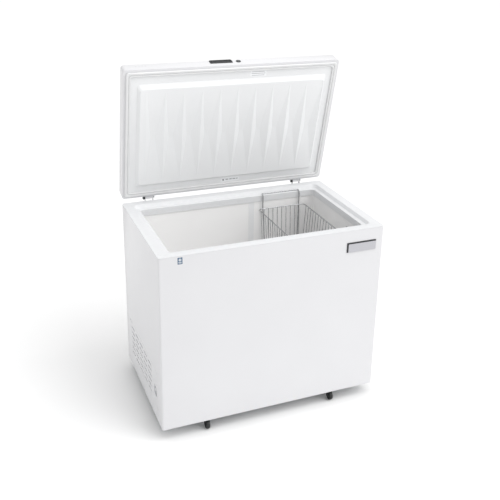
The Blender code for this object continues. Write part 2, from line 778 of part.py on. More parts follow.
def caster_wheel(label, hub, pivot):
    half = WHEEL_WIDTH / 2
    bore = AXLE_RADIUS + GAP
    edge = 0.002
    profile = [
        (bore, -half),
        (WHEEL_RADIUS - edge, -half),
        (WHEEL_RADIUS, -half + edge),
        (WHEEL_RADIUS, half - edge),
        (WHEEL_RADIUS - edge, half),
        (bore, half),
    ]
    tyre = material("caster_wheel", (0.025, 0.025, 0.027), 0.55)
    turned(f"caster_wheel_{label}", profile, pivot, tyre, axis="X", segments=20, location=hub)


def caster(label, x, y, root):
    """Swivelling caster: fixed plate and race, trailing fork, plain wheel."""
    pivot = empty(f"caster_swivel_{label}", (x, y, 0), root)
    hub = (0, -CASTER_TRAIL, WHEEL_RADIUS)
    caster_plate(label, pivot)
    caster_fork(label, hub, pivot)
    caster_wheel(label, hub, pivot)


def casters(root):
    front = -DEPTH / 2 + CASTER_INSET
    rear = DEPTH / 2 - CASTER_INSET
    for label, x, y in (
        ("front_left", -CASTER_X, front),
        ("front_right", CASTER_X, front),
        ("rear_left", -CASTER_X, rear),
        ("rear_right", CASTER_X, rear),
    ):
        caster(label, x, y, root)


def lid_levels():
    """Closed lid's underside and top, and its front and rear edges, measured from the hinge axis."""
    low = LID_LIFT - HINGE_RISE
    high = low + LID_THICKNESS
    front = -DEPTH - LID_FRONT_OVERHANG - HINGE_BACK
    rear = -LID_REAR_INSET - HINGE_BACK
    return low, high, front, rear


def lid_loop(inset, z, radius):
    """The lid's outline drawn in by a distance."""
    _, _, front, rear = lid_levels()
    half_x = WIDTH / 2 - LID_SIDE_INSET - inset
    return rounded_loop((-half_x, front + inset), (half_x, rear - inset), radius, z)


def handle_span(margin):
    """Box that the handle cup fills in the lid's front edge, grown by a margin."""
    _, high, front, _ = lid_levels()
    half = HANDLE_LENGTH / 2 + margin
    top = high - 0.006 + margin
    low = (HANDLE_CENTRE_X - half, front - 0.003, top - HANDLE_HEIGHT - 2 * margin)
    return low, (HANDLE_CENTRE_X + half, front + HANDLE_DEPTH + margin, top)


def lid_shell(lid):
    """Pressed steel pan over the top and edges, its flange turned in underneath."""
    low, high, _, _ = lid_levels()
    edge = LID_EDGE_RADIUS
    corner = LID_CORNER_RADIUS
    loops = []
    for step in range(4):
        angle = math.pi / 2 * step / 3
        inset = edge * (1 - math.sin(angle))
        loops.append(lid_loop(inset, high - edge * (1 - math.cos(angle)), corner))
    loops.append(lid_loop(0.0, low, corner))
    loops.append(lid_loop(LID_FLANGE, low, corner))
    loops.append(lid_loop(LID_FLANGE, low + SHEET, corner))
    loops.append(lid_loop(SHEET, low + SHEET, corner))
    bend = edge - SHEET
    for step in range(4):
        angle = math.pi / 2 * (1 - step / 3)
        inset = SHEET + bend * (1 - math.sin(angle))
        loops.append(lid_loop(inset, high - SHEET - bend * (1 - math.cos(angle)), corner))
    shell = loft("lid_shell", loops, lid, white_enamel())
    box_cut(shell, "handle_window", [handle_span(GAP)])
    cylinder_cut(shell, "lock_hole", lock_place(), LOCK_RADIUS - 0.001 + GAP, 0.012, "Y", 24)


def lid_foam(lid):
    low, high, _, _ = lid_levels()
    side = SHEET + GAP
    edge = LID_EDGE_RADIUS
    corner = LID_CORNER_RADIUS
    panel = low - PLUG_DEPTH + PLUG_SKIN + GAP
    loops = [
        lid_loop(PLUG_INSET + PLUG_SLOPE + 0.003, panel, corner),
        lid_loop(PLUG_INSET + 0.003, low + 0.002 + GAP, corner),
        lid_loop(side, low + 0.002 + GAP, corner),
        lid_loop(side, high - edge, corner),
        lid_loop(edge, high - side - GAP, corner),
    ]
    foam = loft("lid_foam", loops, lid, foam_finish())
    box_cut(foam, "handle_pocket", [handle_span(2 * GAP)])
    x, y, z = lock_place()
    depth = y + LOCK_DEPTH + 0.008
    cylinder_cut(foam, "lock_pocket", (x, y, z), LOCK_RADIUS + GAP, LOCK_DEPTH + 0.001, "Y", 16)
    reach = 0.024
    swing = ((x - reach, y + LOCK_DEPTH - 0.002, z - reach), (x + reach, depth, z + 0.012))
    box_cut(foam, "cam_pocket", [swing])


def lid_liner(lid):
    """Moulded inner panel: a flat margin, a shallow raised plug, and a row of flutes across the plug."""
    low, _, front, rear = lid_levels()
    corner = LID_CORNER_RADIUS
    face = low - PLUG_DEPTH
    inner = PLUG_INSET + PLUG_SLOPE
    edge = LID_FLANGE + GAP
    loops = [
        lid_loop(inner, face, corner),
        lid_loop(PLUG_INSET, low, corner),
        lid_loop(edge, low, corner),
        lid_loop(edge, low + 0.002, corner),
        lid_loop(PLUG_INSET + 0.0025, low + 0.002, corner),
        lid_loop(inner + 0.0025, face + PLUG_SKIN, corner),
    ]
    liner = loft("lid_liner", loops, lid, white_plastic())
    half_x = WIDTH / 2 - LID_SIDE_INSET - inner - 0.012
    pitch = 2 * half_x / FLUTES
    groove = bmesh.new()
    y_low = front + inner + 0.012
    y_high = rear - inner - 0.012
    middle = (y_low + y_high) / 2
    for i in range(FLUTES):
        x = -half_x + (i + 0.5) * pitch
        lean = 0.18 * pitch
        wide = 0.34 * pitch
        points = [
            (x - wide + lean, y_low, face - 0.001),
            (x + wide + lean, y_low, face - 0.001),
            (x + wide - lean, y_high, face - 0.001),
            (x - wide - lean, y_high, face - 0.001),
            (x + lean, y_low + 0.01, face + FLUTE_DEPTH),
            (x, middle, face + 0.4 * FLUTE_DEPTH),
            (x - lean, y_high - 0.01, face + FLUTE_DEPTH),
        ]
        verts = [groove.verts.new(point) for point in points]
        for picks in ((0, 1, 4), (1, 2, 6, 5, 4), (2, 3, 6), (3, 0, 4, 5, 6), (3, 2, 1, 0)):
            groove.faces.new([verts[k] for k in picks])
    bmesh.ops.triangulate(groove, faces=groove.faces)
    cutter = add_object("flute_cutters", mesh_from("flute_cutters", groove), lid, None)
    boolean(liner, cutter)


def lid_gasket(lid):
    """Soft magnetic seal round the underside, resting on the cabinet's ledge when the lid is shut."""
    low, _, _, _ = lid_levels()
    top = low - GAP
    floor = low - LID_LIFT + GAP
    inner = GASKET_INSET + GASKET_WIDTH
    corner = LID_CORNER_RADIUS
    loops = [
        lid_loop(GASKET_INSET + 0.003, top, corner),
        lid_loop(GASKET_INSET, (top + floor) / 2, corner),
        lid_loop(GASKET_INSET + 0.003, floor, corner),
        lid_loop(inner - 0.003, floor, corner),
        lid_loop(inner, (top + floor) / 2, corner),
        lid_loop(inner - 0.003, top, corner),
    ]
    loft("lid_gasket", loops, lid, material("gasket_vinyl", (0.74, 0.75, 0.76), 0.6), ring=True)


def lid_handle(lid):
    """Recessed pull in the front edge, hollow and open to the front."""
    low, high = handle_span(0.0)
    cup = boxes("lid_handle", [(low, high)], lid, black_plastic())
    wall = 0.0025
    hollow_low = (low[0] + wall, low[1] - 0.01, low[2] + wall)
    hollow_high = (high[0] - wall, high[1] - wall, high[2] - wall)
    box_cut(cup, "handle_hollow", [(hollow_low, hollow_high)])


def lock_place():
    low, _, front, _ = lid_levels()
    return LOCK_X, front, low + LOCK_RISE


def lid_lock(lid):
    """Key lock in the front edge: a round body, the barrel that turns in it and the cam on its tail."""
    x, y, z = lock_place()
    bore = BARREL_RADIUS + GAP
    body = [
        (bore, -0.0025),
        (LOCK_RADIUS, -0.0025),
        (LOCK_RADIUS + 0.0005, -GAP),
        (LOCK_RADIUS - 0.001, -GAP),
        (LOCK_RADIUS - 0.001, LOCK_DEPTH - 0.004),
        (bore, LOCK_DEPTH - 0.004),
    ]
    turned("lock_bezel", body, lid, black_plastic(), axis="Y", segments=20, location=(x, y, z))
    barrel = [
        (0, -0.0020),
        (BARREL_RADIUS, -0.0020),
        (BARREL_RADIUS, LOCK_DEPTH),
        (0.003, LOCK_DEPTH),
        (0.003, LOCK_DEPTH + 0.003),
        (0, LOCK_DEPTH + 0.003),
    ]
    steel = material("lock_steel", (0.35, 0.35, 0.36), 0.35, 1.0)
    core = turned("lock_barrel", barrel, lid, steel, axis="Y", segments=16, location=(x, y, z))
    keyway = ((x - 0.0008, y - 0.01, z - 0.0035), (x + 0.0008, y + 0.006, z + 0.0035))
    box_cut(core, "keyway", [keyway])
    cam_y = y + LOCK_DEPTH + GAP
    cam_low = (-0.005, 0.0, -0.005)
    cam = boxes("lock_cam", [(cam_low, (0.021, 0.002, 0.005))], lid, galvanised_steel(), (x, cam_y, z))
    cylinder_cut(cam, "cam_hole", (x, cam_y, z), 0.0033, 0.01, "Y", 12)


def hinge(label, x, root, lid):
    """Sprung hinge: a channel on the back wall, an arm on the lid's rear edge, the pin between them."""
    half = HINGE_WIDTH / 2
    axis_y = DEPTH / 2 + HINGE_BACK
    axis_z = RIM_Z + HINGE_RISE
    wall_y = DEPTH / 2 + GAP
    low_z = RIM_Z - HOUSING_LENGTH
    steel = white_enamel()
    side = [
        (wall_y, low_z),
        (wall_y + HOUSING_DEPTH, low_z),
        (wall_y + HOUSING_DEPTH, RIM_Z - 0.030),
        (axis_y + 0.0065, axis_z - 0.003),
        (axis_y + 0.003, axis_z + 0.006),
        (axis_y - 0.003, axis_z + 0.006),
        (wall_y, axis_z - 0.001),
    ]
    housing = extruded(f"hinge_housing_{label}", side, "X", x - half, x + half, root, steel)
    inner = half - HINGE_SHEET
    shelf = low_z + HINGE_SHEET
    mouth = (wall_y + HINGE_SHEET, wall_y + HOUSING_DEPTH - HINGE_SHEET)
    room = ((x - inner, mouth[0], shelf), (x + inner, mouth[1], RIM_Z - 0.034))
    gate = ((x - inner, wall_y - 0.01, RIM_Z - 0.0345), (x + inner, wall_y + 0.05, RIM_Z + 0.05))
    box_cut(housing, f"hinge_room_{label}", [room])
    box_cut(housing, f"hinge_gate_{label}", [gate])
    cylinder_cut(housing, f"hinge_bore_{label}", (x, axis_y, axis_z), HINGE_PIN_RADIUS + GAP, 0.03, "X", 16)
    end = half + 0.003
    pin = [
        (0, -end - 0.008),
        (HINGE_PIN_RADIUS, -end - 0.008),
        (HINGE_PIN_RADIUS, end),
        (0.0048, end),
        (0.0048, end + 0.002),
        (0, end + 0.002),
    ]
    place = (x, axis_y, axis_z)
    turned(f"hinge_pin_{label}", pin, root, galvanised_steel(), axis="X", segments=16, location=place)
    bush = [
        (HINGE_PIN_RADIUS + GAP, -half - 0.0085),
        (0.0075, -half - 0.0085),
        (0.0075, -half - GAP),
        (HINGE_PIN_RADIUS + GAP, -half - GAP),
    ]
    turned(f"hinge_bush_{label}", bush, root, black_plastic(), axis="X", segments=16, location=place)
    hinge_arm(label, x, inner - 0.0006, lid)
    hinge_spring(label, x, wall_y + HOUSING_DEPTH / 2, shelf + GAP, root)


def hinge_arm(label, x, half, lid):
    _, high, _, rear = lid_levels()
    knuckle = [(0, -half), (KNUCKLE_RADIUS, -half), (KNUCKLE_RADIUS, half), (0, half)]
    place = (x, 0, 0)
    arm = turned(f"hinge_arm_{label}", knuckle, lid, white_enamel(), axis="X", segments=16, location=place)
    plate_low = (x - half, rear + GAP, 0.0)
    plate_high = (x + half, rear + GAP + 0.0025, high - 0.012)
    plate = boxes(f"hinge_plate_{label}", [(plate_low, plate_high)], lid)
    boolean(arm, plate, "UNION")
    cylinder_cut(arm, f"hinge_arm_bore_{label}", (x, 0, 0), HINGE_PIN_RADIUS + GAP, 0.03, "X", 16)


def hinge_spring(label, x, y, z, root):
    """Counterbalance spring standing in the channel, drawn at its open length."""
    per_turn = 7
    height = HOUSING_LENGTH - 0.044
    points = []
    for i in range(SPRING_TURNS * per_turn + 1):
        angle = 2 * math.pi * i / per_turn
        rise = SPRING_WIRE * 1.1 + (height - SPRING_WIRE * 2.2) * i / (SPRING_TURNS * per_turn)
        points.append((x + SPRING_RADIUS * math.cos(angle), y + SPRING_RADIUS * math.sin(angle), z + rise))
    tube(f"hinge_spring_{label}", points, SPRING_WIRE, root, galvanised_steel(), sides=4)


def basket_block(name, shrink, low_z, high_z, root, finish=None):
    """Tapered tub that the wires follow; shrink draws every wall in."""
    loops = []
    for z in (low_z, high_z):
        draw = BASKET_TAPER * (BASKET_TOP_Z - z) / BASKET_HEIGHT + shrink
        low = (BASKET_LEFT_X + draw, -BASKET_HALF_Y + draw)
        high = (BASKET_RIGHT_X - draw, BASKET_HALF_Y - draw)
        loops.append(rounded_loop(low, high, 0.014, z, 2))
    return loft(name, loops, root, finish)


def basket_wires(root):
    """Open wire tub: walls and floor of bars, with a wire round the rim."""
    floor = BASKET_TOP_Z - BASKET_HEIGHT
    chrome = chromed_wire()
    basket = basket_block("basket_wires", 0.0, floor, BASKET_TOP_Z, root, chrome)
    hollow = basket_block("basket_hollow", BASKET_WIRE, floor + BASKET_WIRE, BASKET_TOP_Z + 0.01, root)
    boolean(basket, hollow)
    low_z = floor + 2 * BASKET_WIRE
    high_z = BASKET_TOP_Z - BASKET_WIRE
    foot = BASKET_TAPER + 0.016
    far = (WIDTH, DEPTH)
    side_low = -BASKET_HALF_Y + foot
    side_pitch = (2 * (BASKET_HALF_Y - foot) + BASKET_WIRE) / (BASKET_SIDE_BARS + 1)
    sides = []
    floors = []
    left = BASKET_LEFT_X + foot
    right = BASKET_RIGHT_X - foot
    for i in range(BASKET_SIDE_BARS + 1):
        y = side_low + i * side_pitch
        y_end = y + side_pitch - BASKET_WIRE
        sides.append(((-far[0], y, low_z), (far[0], y_end, high_z)))
        floors.append(((left, y, floor - 0.02), (right, y_end, floor + 2 * BASKET_WIRE)))
    box_cut(basket, "basket_side_windows", sides)
    box_cut(basket, "basket_floor_windows", floors)
    end_pitch = (right - left + BASKET_WIRE) / (BASKET_END_BARS + 1)
    ends = []
    for i in range(BASKET_END_BARS + 1):
        x = left + i * end_pitch
        ends.append(((x, -far[1], low_z), (x + end_pitch - BASKET_WIRE, far[1], high_z)))
    box_cut(basket, "basket_end_windows", ends)


def basket_hangers(root):
    """Thick wire frames on the basket's ends, hooked over the cabinet's inner ledge."""
    centre = (BASKET_LEFT_X + BASKET_RIGHT_X) / 2
    hook_z = RIM_Z - INNER_LEDGE_DROP + HANGER_RADIUS + GAP
    bar_y = DEPTH / 2 - (LEDGE_WIDTH + 0.006 + LIP_INSET) / 2
    leg_top_y = BASKET_HALF_Y + HANGER_RADIUS + 2 * GAP + 0.0025
    low_z = BASKET_TOP_Z - BASKET_HEIGHT + 0.004
    leg_low_y = leg_top_y - BASKET_TAPER
    chrome = chromed_wire()
    for label, way in (("front", -1), ("back", 1)):
        left = centre - HANGER_HALF_X
        right = centre + HANGER_HALF_X
        corners = [
            (left + 0.008, way * leg_low_y, low_z),
            (left, way * leg_top_y, BASKET_TOP_Z),
            (left, way * leg_top_y, hook_z),
            (left, way * bar_y, hook_z),
            (right, way * bar_y, hook_z),
            (right, way * leg_top_y, hook_z),
            (right, way * leg_top_y, BASKET_TOP_Z),
            (right - 0.008, way * leg_low_y, low_z),
        ]
        path = rounded_path(corners, 0.0045, 2)
        tube(f"basket_hanger_{label}", path, HANGER_RADIUS, root, chrome, sides=6)


def main():
    clear_scene()
    root = empty("chest_freezer", (0, FRAME_SHIFT_Y, 0), None)
    lid = empty("lid_axis", (0, DEPTH / 2 + HINGE_BACK, RIM_Z + HINGE_RISE), root)
    lid.rotation_euler.x = -math.radians(LID_OPEN_DEG)
    for build in (
        outer_wrapper, base_plate, machine_bay_panel, cabinet_foam, inner_liner, breaker_frame,
        evaporator_coil, condenser_coil, compressor, filter_drier, machine_tubes, machine_grille,
        thermostat, name_plate, cord_grommet, drain, casters, basket_wires, basket_hangers,
    ):
        build(root)
    for build in (lid_shell, lid_foam, lid_liner, lid_gasket, lid_handle, lid_lock):
        build(lid)
    for label, x in (("left", -HINGE_X), ("right", HINGE_X)):
        hinge(label, x, root, lid)


main()
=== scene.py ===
import json
import math
import bmesh
import bpy
from mathutils import Matrix, Vector
from mathutils.geometry import interpolate_bezier

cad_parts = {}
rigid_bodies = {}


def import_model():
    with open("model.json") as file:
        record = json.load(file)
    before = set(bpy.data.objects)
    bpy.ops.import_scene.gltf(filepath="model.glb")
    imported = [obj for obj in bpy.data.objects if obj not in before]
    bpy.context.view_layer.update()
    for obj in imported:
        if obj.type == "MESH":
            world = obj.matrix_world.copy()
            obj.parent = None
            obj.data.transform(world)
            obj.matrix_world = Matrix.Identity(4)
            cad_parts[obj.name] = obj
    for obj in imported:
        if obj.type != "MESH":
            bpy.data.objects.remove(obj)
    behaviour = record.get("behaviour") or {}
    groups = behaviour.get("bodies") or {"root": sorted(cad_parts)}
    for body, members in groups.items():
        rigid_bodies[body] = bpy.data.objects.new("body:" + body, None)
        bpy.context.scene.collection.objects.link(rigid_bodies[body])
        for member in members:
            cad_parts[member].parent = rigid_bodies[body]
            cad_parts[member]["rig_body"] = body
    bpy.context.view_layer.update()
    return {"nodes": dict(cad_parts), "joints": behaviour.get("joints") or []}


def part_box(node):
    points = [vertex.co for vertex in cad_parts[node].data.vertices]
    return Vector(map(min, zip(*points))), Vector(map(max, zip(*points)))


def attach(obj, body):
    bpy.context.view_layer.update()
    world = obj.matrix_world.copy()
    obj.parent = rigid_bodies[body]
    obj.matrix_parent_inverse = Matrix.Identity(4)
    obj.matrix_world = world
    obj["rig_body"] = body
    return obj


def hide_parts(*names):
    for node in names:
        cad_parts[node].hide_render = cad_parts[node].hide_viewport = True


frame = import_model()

print("frame loaded")

mm = 0.001
joints = {joint["name"]: joint for joint in frame["joints"]}
lidJoint = joints["lid_hinge"]
# a lid piece is drawn as if the lid were shut, measured from the hinge line, then swung open by this
lidOpen = Matrix.Translation(lidJoint["pos_m"]) @ Matrix.Rotation(math.radians(lidJoint["range_deg"][0]), 4,
                                                                  "X")

skinLow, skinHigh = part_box("outer_wrapper")
cabinet = {"left": skinLow.x, "front": skinLow.y, "back": skinHigh.y, "top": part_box("breaker_frame")[1].z}
lid = {
    "halfWidth": 469 * mm, "front": -599 * mm, "rear": -8 * mm, "low": -4 * mm, "corner": 12 * mm,
}


def linearColour(code):
    channels = [int(code[i:i + 2], 16) / 255 for i in (1, 3, 5)]
    return (*[c / 12.92 if c <= 0.04045 else ((c + 0.055) / 1.055) ** 2.4 for c in channels], 1.0)


def addNode(tree, kind, inputs=None, **settings):
    # inputs hold a plain value or the socket to link from
    node = tree.nodes.new(kind)
    for name, value in settings.items():
        setattr(node, name, value)
    for name, value in (inputs or {}).items():
        if isinstance(value, bpy.types.NodeSocket):
            tree.links.new(value, node.inputs[name])
        else:
            node.inputs[name].default_value = value
    return node


def perSize(millimetres):
    return 1000 / millimetres  # a texture's scale for a feature of that size


def newMaterial(name, colour, roughness, **sockets):
    made = bpy.data.materials.new(name)
    made.use_nodes = True
    shader = made.node_tree.nodes["Principled BSDF"]
    shader.inputs["Base Color"].default_value = linearColour(colour)
    shader.inputs["Roughness"].default_value = roughness
    for socket, value in sockets.items():
        shader.inputs[socket.replace("_", " ")].default_value = value
    made.diffuse_color = linearColour(colour)
    return made, made.node_tree, shader


def vary(tree, shader, socket, pattern, low, high):
    # spreads a 0 to 1 pattern between two values, or two colours, of a shader socket
    if isinstance(low, str):
        mix = addNode(tree, "ShaderNodeMix", {"Factor": pattern}, data_type="RGBA")
        mix.inputs[6].default_value = linearColour(low)
        mix.inputs[7].default_value = linearColour(high)
        tree.links.new(mix.outputs[2], shader.inputs[socket])
    else:
        spread = addNode(tree, "ShaderNodeMapRange", {"Value": pattern, "To Min": low, "To Max": high})
        tree.links.new(spread.outputs["Result"], shader.inputs[socket])


def relief(tree, shader, layers):
    # each layer is a pattern and its depth in millimetres
    normal = None
    for pattern, depth in layers:
        inputs = {"Height": pattern, "Distance": depth * mm, "Strength": 1.0}
        if normal:
            inputs["Normal"] = normal
        normal = addNode(tree, "ShaderNodeBump", inputs).outputs["Normal"]
    tree.links.new(normal, shader.inputs["Normal"])


def place(tree):
    return addNode(tree, "ShaderNodeTexCoord").outputs["Object"]


def noise(tree, where, size, detail=2.0, stretch=(1, 1, 1)):
    if stretch != (1, 1, 1):
        where = addNode(tree, "ShaderNodeMapping", {"Vector": where, "Scale": stretch}).outputs["Vector"]
    made = addNode(tree, "ShaderNodeTexNoise", {"Vector": where, "Scale": perSize(size), "Detail": detail})
    return made.outputs["Fac"]


def bakedEnamel():
    # white baked enamel on steel: a smooth satin coat with a faint orange peel, greying a little in patches
    made, tree, shader = newMaterial("bakedEnamelWhite", "#D8D8DA", 0.3, Coat_Weight=0.25,
                                     Coat_Roughness=0.12)
    where = place(tree)
    patches = noise(tree, where, 180, 3)
    vary(tree, shader, "Base Color", patches, "#D6D6D8", "#DADADC")
    vary(tree, shader, "Roughness", noise(tree, where, 45, 4), 0.26, 0.36)
    relief(tree, shader, [(noise(tree, where, 4.5, 1), 0.012)])
    return made


def linerEnamel():
    # coated aluminium tub: satin, paler and warmer than the skin, with a finer orange peel
    made, tree, shader = newMaterial("linerEnamelSatin", "#F2F1F1", 0.38)
    where = place(tree)
    vary(tree, shader, "Base Color", noise(tree, where, 220, 2), "#EFEEEE", "#F4F4F3")
    vary(tree, shader, "Roughness", noise(tree, where, 30, 3), 0.34, 0.44)
    relief(tree, shader, [(noise(tree, where, 3, 1), 0.01)])
    return made


def mouldedWhite():
    # vacuum formed white polystyrene: soft satin with the faint waviness of drawn sheet
    made, tree, shader = newMaterial("polystyreneWhite", "#E6E7E8", 0.4)
    where = place(tree)
    vary(tree, shader, "Base Color", noise(tree, where, 160, 2), "#E4E5E6", "#E9EAEB")
    vary(tree, shader, "Roughness", noise(tree, where, 25, 3), 0.36, 0.46)
    relief(tree, shader, [(noise(tree, where, 1.2, 2), 0.008), (noise(tree, where, 30, 1), 0.04)])
    return made


def mouldedGrain(name, dark, light, roughness):
    # moulded ABS: spark eroded grain about half a millimetre across, worn a little shinier in patches
    made, tree, shader = newMaterial(name, dark, roughness)
    where = place(tree)
    vary(tree, shader, "Base Color", noise(tree, where, 14, 3), dark, light)
    vary(tree, shader, "Roughness", noise(tree, where, 9, 4), roughness - 0.07, roughness + 0.09)
    relief(tree, shader, [(noise(tree, where, 0.55, 2), 0.03)])
    return made


def gasketVinyl():
    # soft extruded vinyl: matt pale grey, a little uneven from dust, with a fine skin texture
    made, tree, shader = newMaterial("gasketVinyl", "#DEDFE0", 0.55)
    where = place(tree)
    vary(tree, shader, "Base Color", noise(tree, where, 40, 4), "#D8D9DA", "#E3E3E3")
    vary(tree, shader, "Roughness", noise(tree, where, 12, 3), 0.48, 0.64)
    relief(tree, shader, [(noise(tree, where, 1.0, 2), 0.02)])
    return made


def platedWire():
    # bright nickel chromium on drawn wire: glossy, with slight dulling and fine draw marks
    made, tree, shader = newMaterial("platedWire", "#B4B5B7", 0.24, Metallic=1.0)
    where = place(tree)
    vary(tree, shader, "Base Color", noise(tree, where, 25, 3), "#A6A7A9", "#C4C5C7")
    vary(tree, shader, "Roughness", noise(tree, where, 6, 3), 0.18, 0.34)
    relief(tree, shader, [(noise(tree, where, 0.8, 2), 0.01)])
    return made


def zincSheet():
    # hot dip galvanised sheet: flat grey crystals some 12 mm across, each with its own sheen
    made, tree, shader = newMaterial("zincSheet", "#A9ACAF", 0.42, Metallic=1.0)
    where = place(tree)
    waviness = noise(tree, where, 10, 3)
    cells = addNode(tree, "ShaderNodeTexVoronoi", {"Vector": where, "Scale": perSize(12)}, feature="F1")
    grey = addNode(tree, "ShaderNodeSeparateColor", {"Color": cells.outputs["Color"]}).outputs["Red"]
    vary(tree, shader, "Base Color", grey, "#9A9DA0", "#B8BBBD")
    vary(tree, shader, "Roughness", grey, 0.32, 0.52)
    relief(tree, shader, [(waviness, 0.03)])
    return made


def drawnMetal(name, dark, light, roughness):
    # drawn tube or turned rod: bare metal with fine marks and slight tarnish
    made, tree, shader = newMaterial(name, light, roughness, Metallic=1.0)
    where = place(tree)
    vary(tree, shader, "Base Color", noise(tree, where, 18, 4), dark, light)
    vary(tree, shader, "Roughness", noise(tree, where, 4, 3), roughness - 0.08, roughness + 0.12)
    relief(tree, shader, [(noise(tree, where, 0.7, 2), 0.015)])
    return made


def satinPaintBlack():
    # semi gloss black paint sprayed on steel: a visible orange peel and dust in the hollows
    made, tree, shader = newMaterial("satinPaintBlack", "#26272A", 0.35, Coat_Weight=0.3)
    where = place(tree)
    vary(tree, shader, "Base Color", noise(tree, where, 35, 4), "#1F2023", "#2F3033")
    vary(tree, shader, "Roughness", noise(tree, where, 15, 4), 0.28, 0.5)
    relief(tree, shader, [(noise(tree, where, 2.5, 2), 0.04)])
    return made


def mouldedRubber():
    # black moulded rubber: matt, with a fine pitted skin and greyer rubbed patches
    made, tree, shader = newMaterial("mouldedRubber", "#242425", 0.75)
    where = place(tree)
    vary(tree, shader, "Base Color", noise(tree, where, 12, 4), "#1E1E1F", "#303031")
    vary(tree, shader, "Roughness", noise(tree, where, 5, 3), 0.66, 0.86)
    relief(tree, shader, [(noise(tree, where, 0.6, 3), 0.05)])
    return made


def insulationFoam():
    # rigid polyurethane foam: straw coloured skin over cells about 2 mm across
    made, tree, shader = newMaterial("insulationFoam", "#E4D6AE", 0.85)
    where = place(tree)
    cells = addNode(tree, "ShaderNodeTexVoronoi", {"Vector": where, "Scale": perSize(2)}, feature="F1")
    vary(tree, shader, "Base Color", noise(tree, where, 40, 4), "#D9C897", "#EADFBE")
    relief(tree, shader, [(cells.outputs["Distance"], 0.3)])
    return made


def brushedSilver():
    # lacquered aluminium foil: a grey sheen with hairlines brushed lengthwise, half a millimetre apart
    made, tree, shader = newMaterial("brushedSilver", "#BCBCC1", 0.4, Metallic=0.45)
    where = place(tree)
    hairs = noise(tree, where, 0.5, 2, (0.02, 1, 1))
    vary(tree, shader, "Base Color", hairs, "#B2B2B7", "#C6C6CB")
    vary(tree, shader, "Roughness", hairs, 0.3, 0.46)
    relief(tree, shader, [(hairs, 0.01)])
    return made


def printedFilm(name, dark, light):
    # printed polyester label: flat ink under a thin gloss film with slight ripples
    made, tree, shader = newMaterial(name, dark, 0.34, Coat_Weight=0.4, Coat_Roughness=0.15)
    where = place(tree)
    vary(tree, shader, "Base Color", noise(tree, where, 3, 3), dark, light)
    vary(tree, shader, "Roughness", noise(tree, where, 8, 2), 0.3, 0.4)
    relief(tree, shader, [(noise(tree, where, 6, 1), 0.01)])
    return made


finishes = {
    "enamel": bakedEnamel(),
    "liner": linerEnamel(),
    "styrene": mouldedWhite(),
    "whiteAbs": mouldedGrain("absWhite", "#D8D9DB", "#DFE0E1", 0.42),
    "blackAbs": mouldedGrain("absBlack", "#232426", "#303134", 0.45),
    "nylon": mouldedGrain("nylonBlack", "#141516", "#202122", 0.4),
    "vinyl": gasketVinyl(),
    "chrome": platedWire(),
    "zinc": zincSheet(),
    "copper": drawnMetal("copperTube", "#8C4E32", "#C7825E", 0.34),
    "steelTube": drawnMetal("bareSteelTube", "#5A5C5F", "#7E8083", 0.45),
    "lockSteel": drawnMetal("turnedSteel", "#77787A", "#A4A5A7", 0.3),
    "blackPaint": satinPaintBlack(),
    "rubber": mouldedRubber(),
    "foam": insulationFoam(),
    "silver": brushedSilver(),
    "labelBlue": printedFilm("labelInkBlue", "#50657C", "#5E748B"),
    "labelPale": printedFilm("labelFilmPale", "#EEF0F2", "#F6F7F8"),
    "labelGrey": printedFilm("labelInkGrey", "#9FA1A4", "#AFB1B3"),
    "labelDark": printedFilm("labelInkDark", "#4A4B4D", "#5A5B5D"),
}
print("materials ready", len(finishes))


def finish(shape, name, body, finishName, matrix=None, bevel=0.0, segments=2, angle=30, smooth=35):
    # bakes the place into the mesh, rounds its edges and hands the piece to its body
    if matrix:
        bmesh.ops.transform(shape, matrix=matrix, verts=shape.verts)
    mesh = bpy.data.meshes.new(name)
    shape.to_mesh(mesh)
    shape.free()
    mesh.shade_smooth()
    mesh.set_sharp_from_angle(angle=math.radians(smooth))
    piece = bpy.data.objects.new(name, mesh)
    bpy.context.scene.collection.objects.link(piece)
    mesh.materials.append(finishes[finishName])
    if bevel:
        rounded = piece.modifiers.new("edges", "BEVEL")
        rounded.width = bevel
        rounded.segments = segments
        rounded.limit_method = "ANGLE"
        rounded.angle_limit = math.radians(angle)
        rounded.harden_normals = True
        rounded.use_clamp_overlap = True
    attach(piece, body)
    return piece


def roundedLoop(shape, low, high, z, radius=0.0, segments=6):
    # the edges of a rectangle with rounded corners, lying flat at one height
    made = bmesh.ops.create_grid(shape, x_segments=1, y_segments=1, size=0.5)["verts"]
    bmesh.ops.scale(shape, vec=(high[0] - low[0], high[1] - low[1], 1), verts=made)
    bmesh.ops.translate(shape, vec=((low[0] + high[0]) / 2, (low[1] + high[1]) / 2, z), verts=made)
    if radius:
        bmesh.ops.bevel(shape, geom=made, offset=radius, segments=segments, profile=0.5,
                        affect="VERTICES", material=-1)
    shape.faces.ensure_lookup_table()
    face = shape.faces[0]
    edges = face.edges[:]
    bmesh.ops.delete(shape, geom=[face], context="FACES_ONLY")
    return edges


def bridge(shape, loops, ring=False, firstCap=False, lastCap=False):
    pairs = list(zip(loops, loops[1:]))
    if ring:
        pairs.append((loops[-1], loops[0]))
    for first, second in pairs:
        bmesh.ops.bridge_loops(shape, edges=first + second)
    for cap in [loops[0]] * firstCap + [loops[-1]] * lastCap:
        bmesh.ops.contextual_create(shape, geom=cap)
    bmesh.ops.recalc_face_normals(shape, faces=shape.faces)


def block(shape, low, high):
    made = bmesh.ops.create_cube(shape, size=1.0)["verts"]
    size = [high[i] - low[i] for i in range(3)]
    middle = [(high[i] + low[i]) / 2 for i in range(3)]
    bmesh.ops.scale(shape, vec=size, verts=made)
    bmesh.ops.translate(shape, vec=middle, verts=made)
    return made


